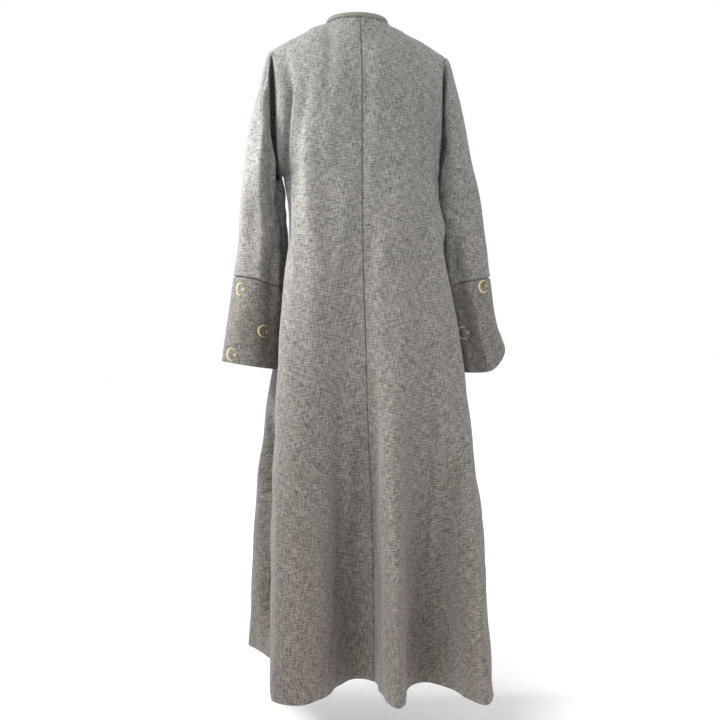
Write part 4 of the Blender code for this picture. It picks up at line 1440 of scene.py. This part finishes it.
class KaftanStage(bpy.types.PropertyGroup):
    """Camera, floor and lights."""

    distance: length_property("Camera distance", "From the camera to the neck's middle line", 2.1)
    camera_height: length_property("Camera height", "Up from the neck points to the camera", -0.738, -10)
    turn: bpy.props.FloatProperty(
        name="Camera turn",
        description="How far the camera stands to one side of the back",
        default=math.radians(6),
        unit="ROTATION",
    )
    lens: number_property("Lens", "Focal length in millimetres", 47.58, 10, 300)
    floor_drop: length_property("Floor drop", "How far the floor lies below the hem", 0.16)
    floor_colour: colour_property("Floor colour", "Colour of the floor", (0.94, 0.94, 0.94))
    floor_glow: number_property("Floor glow", "How much the floor shines by itself, to stay white", 0.2, 0, 5)
    key_power: number_property("Key light", "Strength of the large soft light", 2.15, 0, 50)
    fill_power: number_property("Fill light", "Strength of the light opposite the key light", 1.3, 0, 50)
    front_power: number_property("Front light", "Strength of the weak light on the front", 0.9, 0, 50)
    lamp_power: number_property("Lamp", "Watts of the near lamp beside the left shoulder", 195.0, 0, 500)
    surrounding: number_property("Surrounding light", "Strength of the light all round", 0.35, 0, 10)
    backdrop: number_property("Backdrop", "Brightness of the white behind the garment", 1.0, 0, 10)


def cloth_weave(cloth, finer=1, shorter=1):
    """The yarn's width, the slubs' width and length, and the contrast, for finer cloth with shorter slubs."""
    return cloth.yarn / finer, cloth.slub_width / finer, cloth.slub_length / shorter, cloth.contrast / finer


def body_material():
    cloth = bpy.context.scene.kaftan_cloth
    yarns = cloth.light_yarn, cloth.dark_yarn
    return woven_material("Melange body cloth", yarns, cloth.lower_tone_and_shade, cloth_weave(cloth), cloth.sheen)


def cuff_material():
    cloth = bpy.context.scene.kaftan_cloth
    yarns = cloth.cuff_light_yarn, cloth.cuff_dark_yarn
    return woven_material("Melange cuff cloth", yarns, NO_TINT, cloth_weave(cloth), cloth.sheen)


def band_material():
    cloth = bpy.context.scene.kaftan_cloth
    yarns = cloth.band_light_yarn, cloth.band_dark_yarn
    weave = cloth_weave(cloth, BAND_FINENESS, BAND_SLUB_SHORTNESS)
    return woven_material("Band cloth", yarns, NO_TINT, weave, cloth.sheen)


def shaped_panel(name):
    return surfaces()[name].shaped(bpy.context.scene.kaftan_cloth.crease_strength)


def shaped_tube(part, side):
    return surfaces()[side].shaped(part, bpy.context.scene.kaftan_cloth.crease_strength)


def make_panels(part):
    """The left and the right panel of the back or the front."""
    wall = bpy.context.scene.kaftan_cloth.wall
    for side in SIDES:
        name = part + "_" + side
        panel = surfaces()[name]
        grid, threads, flipped = shaped_panel(name), panel.threads(), panel.flipped
        cloth_piece(name, grid, threads, wall, False, flipped, body_material())


def make_tubes(part, material):
    """The left and the right sleeve or cuff."""
    wall = bpy.context.scene.kaftan_cloth.wall
    for side in SIDES:
        sleeve = surfaces()[side]
        grid, threads, flipped = shaped_tube(part, side), sleeve.threads(part), sleeve.flipped
        cloth_piece(part + "_" + side, grid, threads, wall, True, flipped, material)


class KAFTAN_OT_back_panels(bpy.types.Operator):
    """Make the two back panels with their folds and the seam between them"""

    bl_idname = "kaftan.back_panels"
    bl_label = "Back panels"

    def execute(self, context):
        make_panels("back")
        return {"FINISHED"}


class KAFTAN_OT_front_panels(bpy.types.Operator):
    """Make the two front panels, which hang edge to edge"""

    bl_idname = "kaftan.front_panels"
    bl_label = "Front panels"

    def execute(self, context):
        make_panels("front")
        return {"FINISHED"}


class KAFTAN_OT_sleeves(bpy.types.Operator):
    """Make the two sleeves, set into the armholes"""

    bl_idname = "kaftan.sleeves"
    bl_label = "Sleeves"

    def execute(self, context):
        make_tubes("sleeve", body_material())
        return {"FINISHED"}


class KAFTAN_OT_cuffs(bpy.types.Operator):
    """Make the two deep cuffs"""

    bl_idname = "kaftan.cuffs"
    bl_label = "Cuffs"

    def execute(self, context):
        make_tubes("cuff", cuff_material())
        return {"FINISHED"}


class KAFTAN_OT_neck_band(bpy.types.Operator):
    """Make the narrow band round the neck"""

    bl_idname = "kaftan.neck_band"
    bl_label = "Neck band"

    def execute(self, context):
        grid = neck_band_grid()
        threads = np.stack([lengths_along(grid, 1), lengths_along(grid, 0)], axis=2)
        cloth_piece("neck_band", grid, threads, BAND_WALL, False, False, band_material())
        return {"FINISHED"}


class KAFTAN_OT_embroidery(bpy.types.Operator):
    """Embroider the crescents and stars on both cuffs in satin stitch"""

    bl_idname = "kaftan.embroidery"
    bl_label = "Embroidery"

    def execute(self, context):
        sewing = context.scene.kaftan_sewing
        gold = thread_material("gold_thread", sewing.gold_colour, *GOLD_FINISH)
        values = {"Thread Width": sewing.gold_width, "Thread": gold}
        for side in SIDES:
            lines = motif_lines(side, shaped_tube("cuff", side), sewing.gold_width * GOLD_LIFT)
            piece = lines_piece("embroidery_" + side, lines)
            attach(grown(piece, satin_thread_tree(), values), "root")
        return {"FINISHED"}


class KAFTAN_OT_stitching(bpy.types.Operator):
    """Sew the hems, the front edges and the cuffs"""

    bl_idname = "kaftan.stitching"
    bl_label = "Stitching"

    def execute(self, context):
        sewing = context.scene.kaftan_sewing
        for name in FOLDS:
            panel, grid = surfaces()[name], shaped_panel(name)
            lines = [(line_beside(grid.transpose(1, 0, 2), panel.along.T, sewing.hem_depth), False)]
            if not panel.is_back:
                lines.append((line_beside(grid, panel.across, sewing.edge_depth), False))
            self.sew(name, lines, sewing)
        for side in SIDES:
            for part, depth in (("sleeve", sewing.seam_depth), ("cuff", sewing.cuff_hem_depth)):
                upward = shaped_tube(part, side)[::-1]
                line = line_beside(upward.transpose(1, 0, 2), lengths_along(upward, 0).T, depth)
                self.sew(part + "_" + side, [(line, True)], sewing)
        self.declare_cuts()
        return {"FINISHED"}

    def sew(self, name, lines, sewing):
        values = {
            "Stitch Length": sewing.stitch_length,
            "Gap": sewing.stitch_gap,
            "Thread Width": sewing.thread_width,
            "Thread": thread_material("sewing_thread", sewing.thread_colour, *THREAD_FINISH),
        }
        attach(grown(lines_piece(name + "_stitches", lines), running_stitch_tree(), values), "root")

    def declare_cuts(self):
        for name, (width, length, area, held, carriers) in CUTS.items():
            sewn_on = [] if name == "neck_band" else [name + "_stitches"]
            if name.startswith("cuff_"):
                sewn_on.append(name.replace("cuff_", "embroidery_"))


class KAFTAN_OT_stage(bpy.types.Operator):
    """Make the floor, the lights and the camera"""

    bl_idname = "kaftan.stage"
    bl_label = "Stage"

    def execute(self, context):
        stage = context.scene.kaftan_stage
        self.floor(stage)
        self.surroundings(context.scene, stage)
        self.lights(stage)
        self.camera(context.scene, stage)
        return {"FINISHED"}

    def floor(self, stage):
        z = HEM_Z - stage.floor_drop
        far = FLOOR_REACH
        mesh = bpy.data.meshes.new("floor")
        mesh.from_pydata([(-far, -far, z), (far, -far, z), (far, far, z), (-far, far, z)], [], [(0, 1, 2, 3)])
        material, tree, shader = new_material("floor")
        finish = {
            "Base Color": (*stage.floor_colour, 1),
            "Roughness": FLOOR_ROUGHNESS,
            "Emission Color": WHITE,
            "Emission Strength": stage.floor_glow,
        }
        set_inputs(tree, shader, finish)
        mesh.materials.append(material)
        placed("floor", mesh)

    def surroundings(self, scene, stage):
        """White all round, whose strength differs where the camera sees it."""
        scene.world = scene.world or bpy.data.worlds.new("studio")
        scene.world.use_nodes = True
        tree = scene.world.node_tree
        seen = add_node(tree, "ShaderNodeLightPath").outputs["Is Camera Ray"]
        strength = scaled_range(tree, seen, 0.0, 1.0, stage.surrounding, stage.backdrop)
        set_inputs(tree, tree.nodes["Background"], {"Color": WHITE, "Strength": strength})
        scene.view_settings.view_transform = "Standard"

    def lights(self, stage):
        for name, (kind, place, aim, settings) in LIGHTS.items():
            data = bpy.data.lights.new(name, kind)
            data.energy = getattr(stage, name + "_power")
            for setting, value in settings.items():
                setattr(data, setting, value)
            light = placed(name, data)
            light.location = place
            light.rotation_euler = (Vector(place) - Vector(aim)).to_track_quat("Z", "Y").to_euler()

    def camera(self, scene, stage):
        data = bpy.data.cameras.new("camera")
        data.lens = stage.lens
        data.shift_x = CAMERA_SHIFT
        camera = placed("camera", data)
        x, y = stage.distance * math.sin(stage.turn), stage.distance * math.cos(stage.turn)
        camera.location = (x, y, stage.camera_height)
        camera.rotation_euler = (math.pi / 2, 0, math.pi - stage.turn)
        scene.camera = camera


class KAFTAN_PT_sidebar(bpy.types.Panel):
    """The kaftan's sizes and steps"""

    bl_idname = "KAFTAN_PT_sidebar"
    bl_label = "Kaftan"
    bl_space_type = "VIEW_3D"
    bl_region_type = "UI"
    bl_category = "Kaftan"

    def draw(self, context):
        for group in GROUPS:
            box = self.layout.box()
            settings = getattr(context.scene, group)
            for name in settings.bl_rna.properties.keys():
                if name not in ("rna_type", "name"):
                    box.prop(settings, name)
        for operator in OPERATORS:
            self.layout.operator(operator.bl_idname)


OPERATORS = (
    KAFTAN_OT_back_panels,
    KAFTAN_OT_front_panels,
    KAFTAN_OT_sleeves,
    KAFTAN_OT_cuffs,
    KAFTAN_OT_neck_band,
    KAFTAN_OT_embroidery,
    KAFTAN_OT_stitching,
    KAFTAN_OT_stage,
)
GROUPS = {"kaftan_cloth": KaftanCloth, "kaftan_sewing": KaftanSewing, "kaftan_stage": KaftanStage}


def register():
    for kind in (*GROUPS.values(), *OPERATORS, KAFTAN_PT_sidebar):
        bpy.utils.register_class(kind)
    for name, kind in GROUPS.items():
        setattr(bpy.types.Scene, name, bpy.props.PointerProperty(type=kind))


def unregister():
    for name in GROUPS:
        delattr(bpy.types.Scene, name)
    for kind in (KAFTAN_PT_sidebar, *OPERATORS[::-1], *GROUPS.values()):
        bpy.utils.unregister_class(kind)


def main():
    register()
    for operator in OPERATORS:
        group, name = operator.bl_idname.split(".")
        getattr(getattr(bpy.ops, group), name)()
    bpy.context.view_layer.update()


if __name__ == "__main__":
    main()
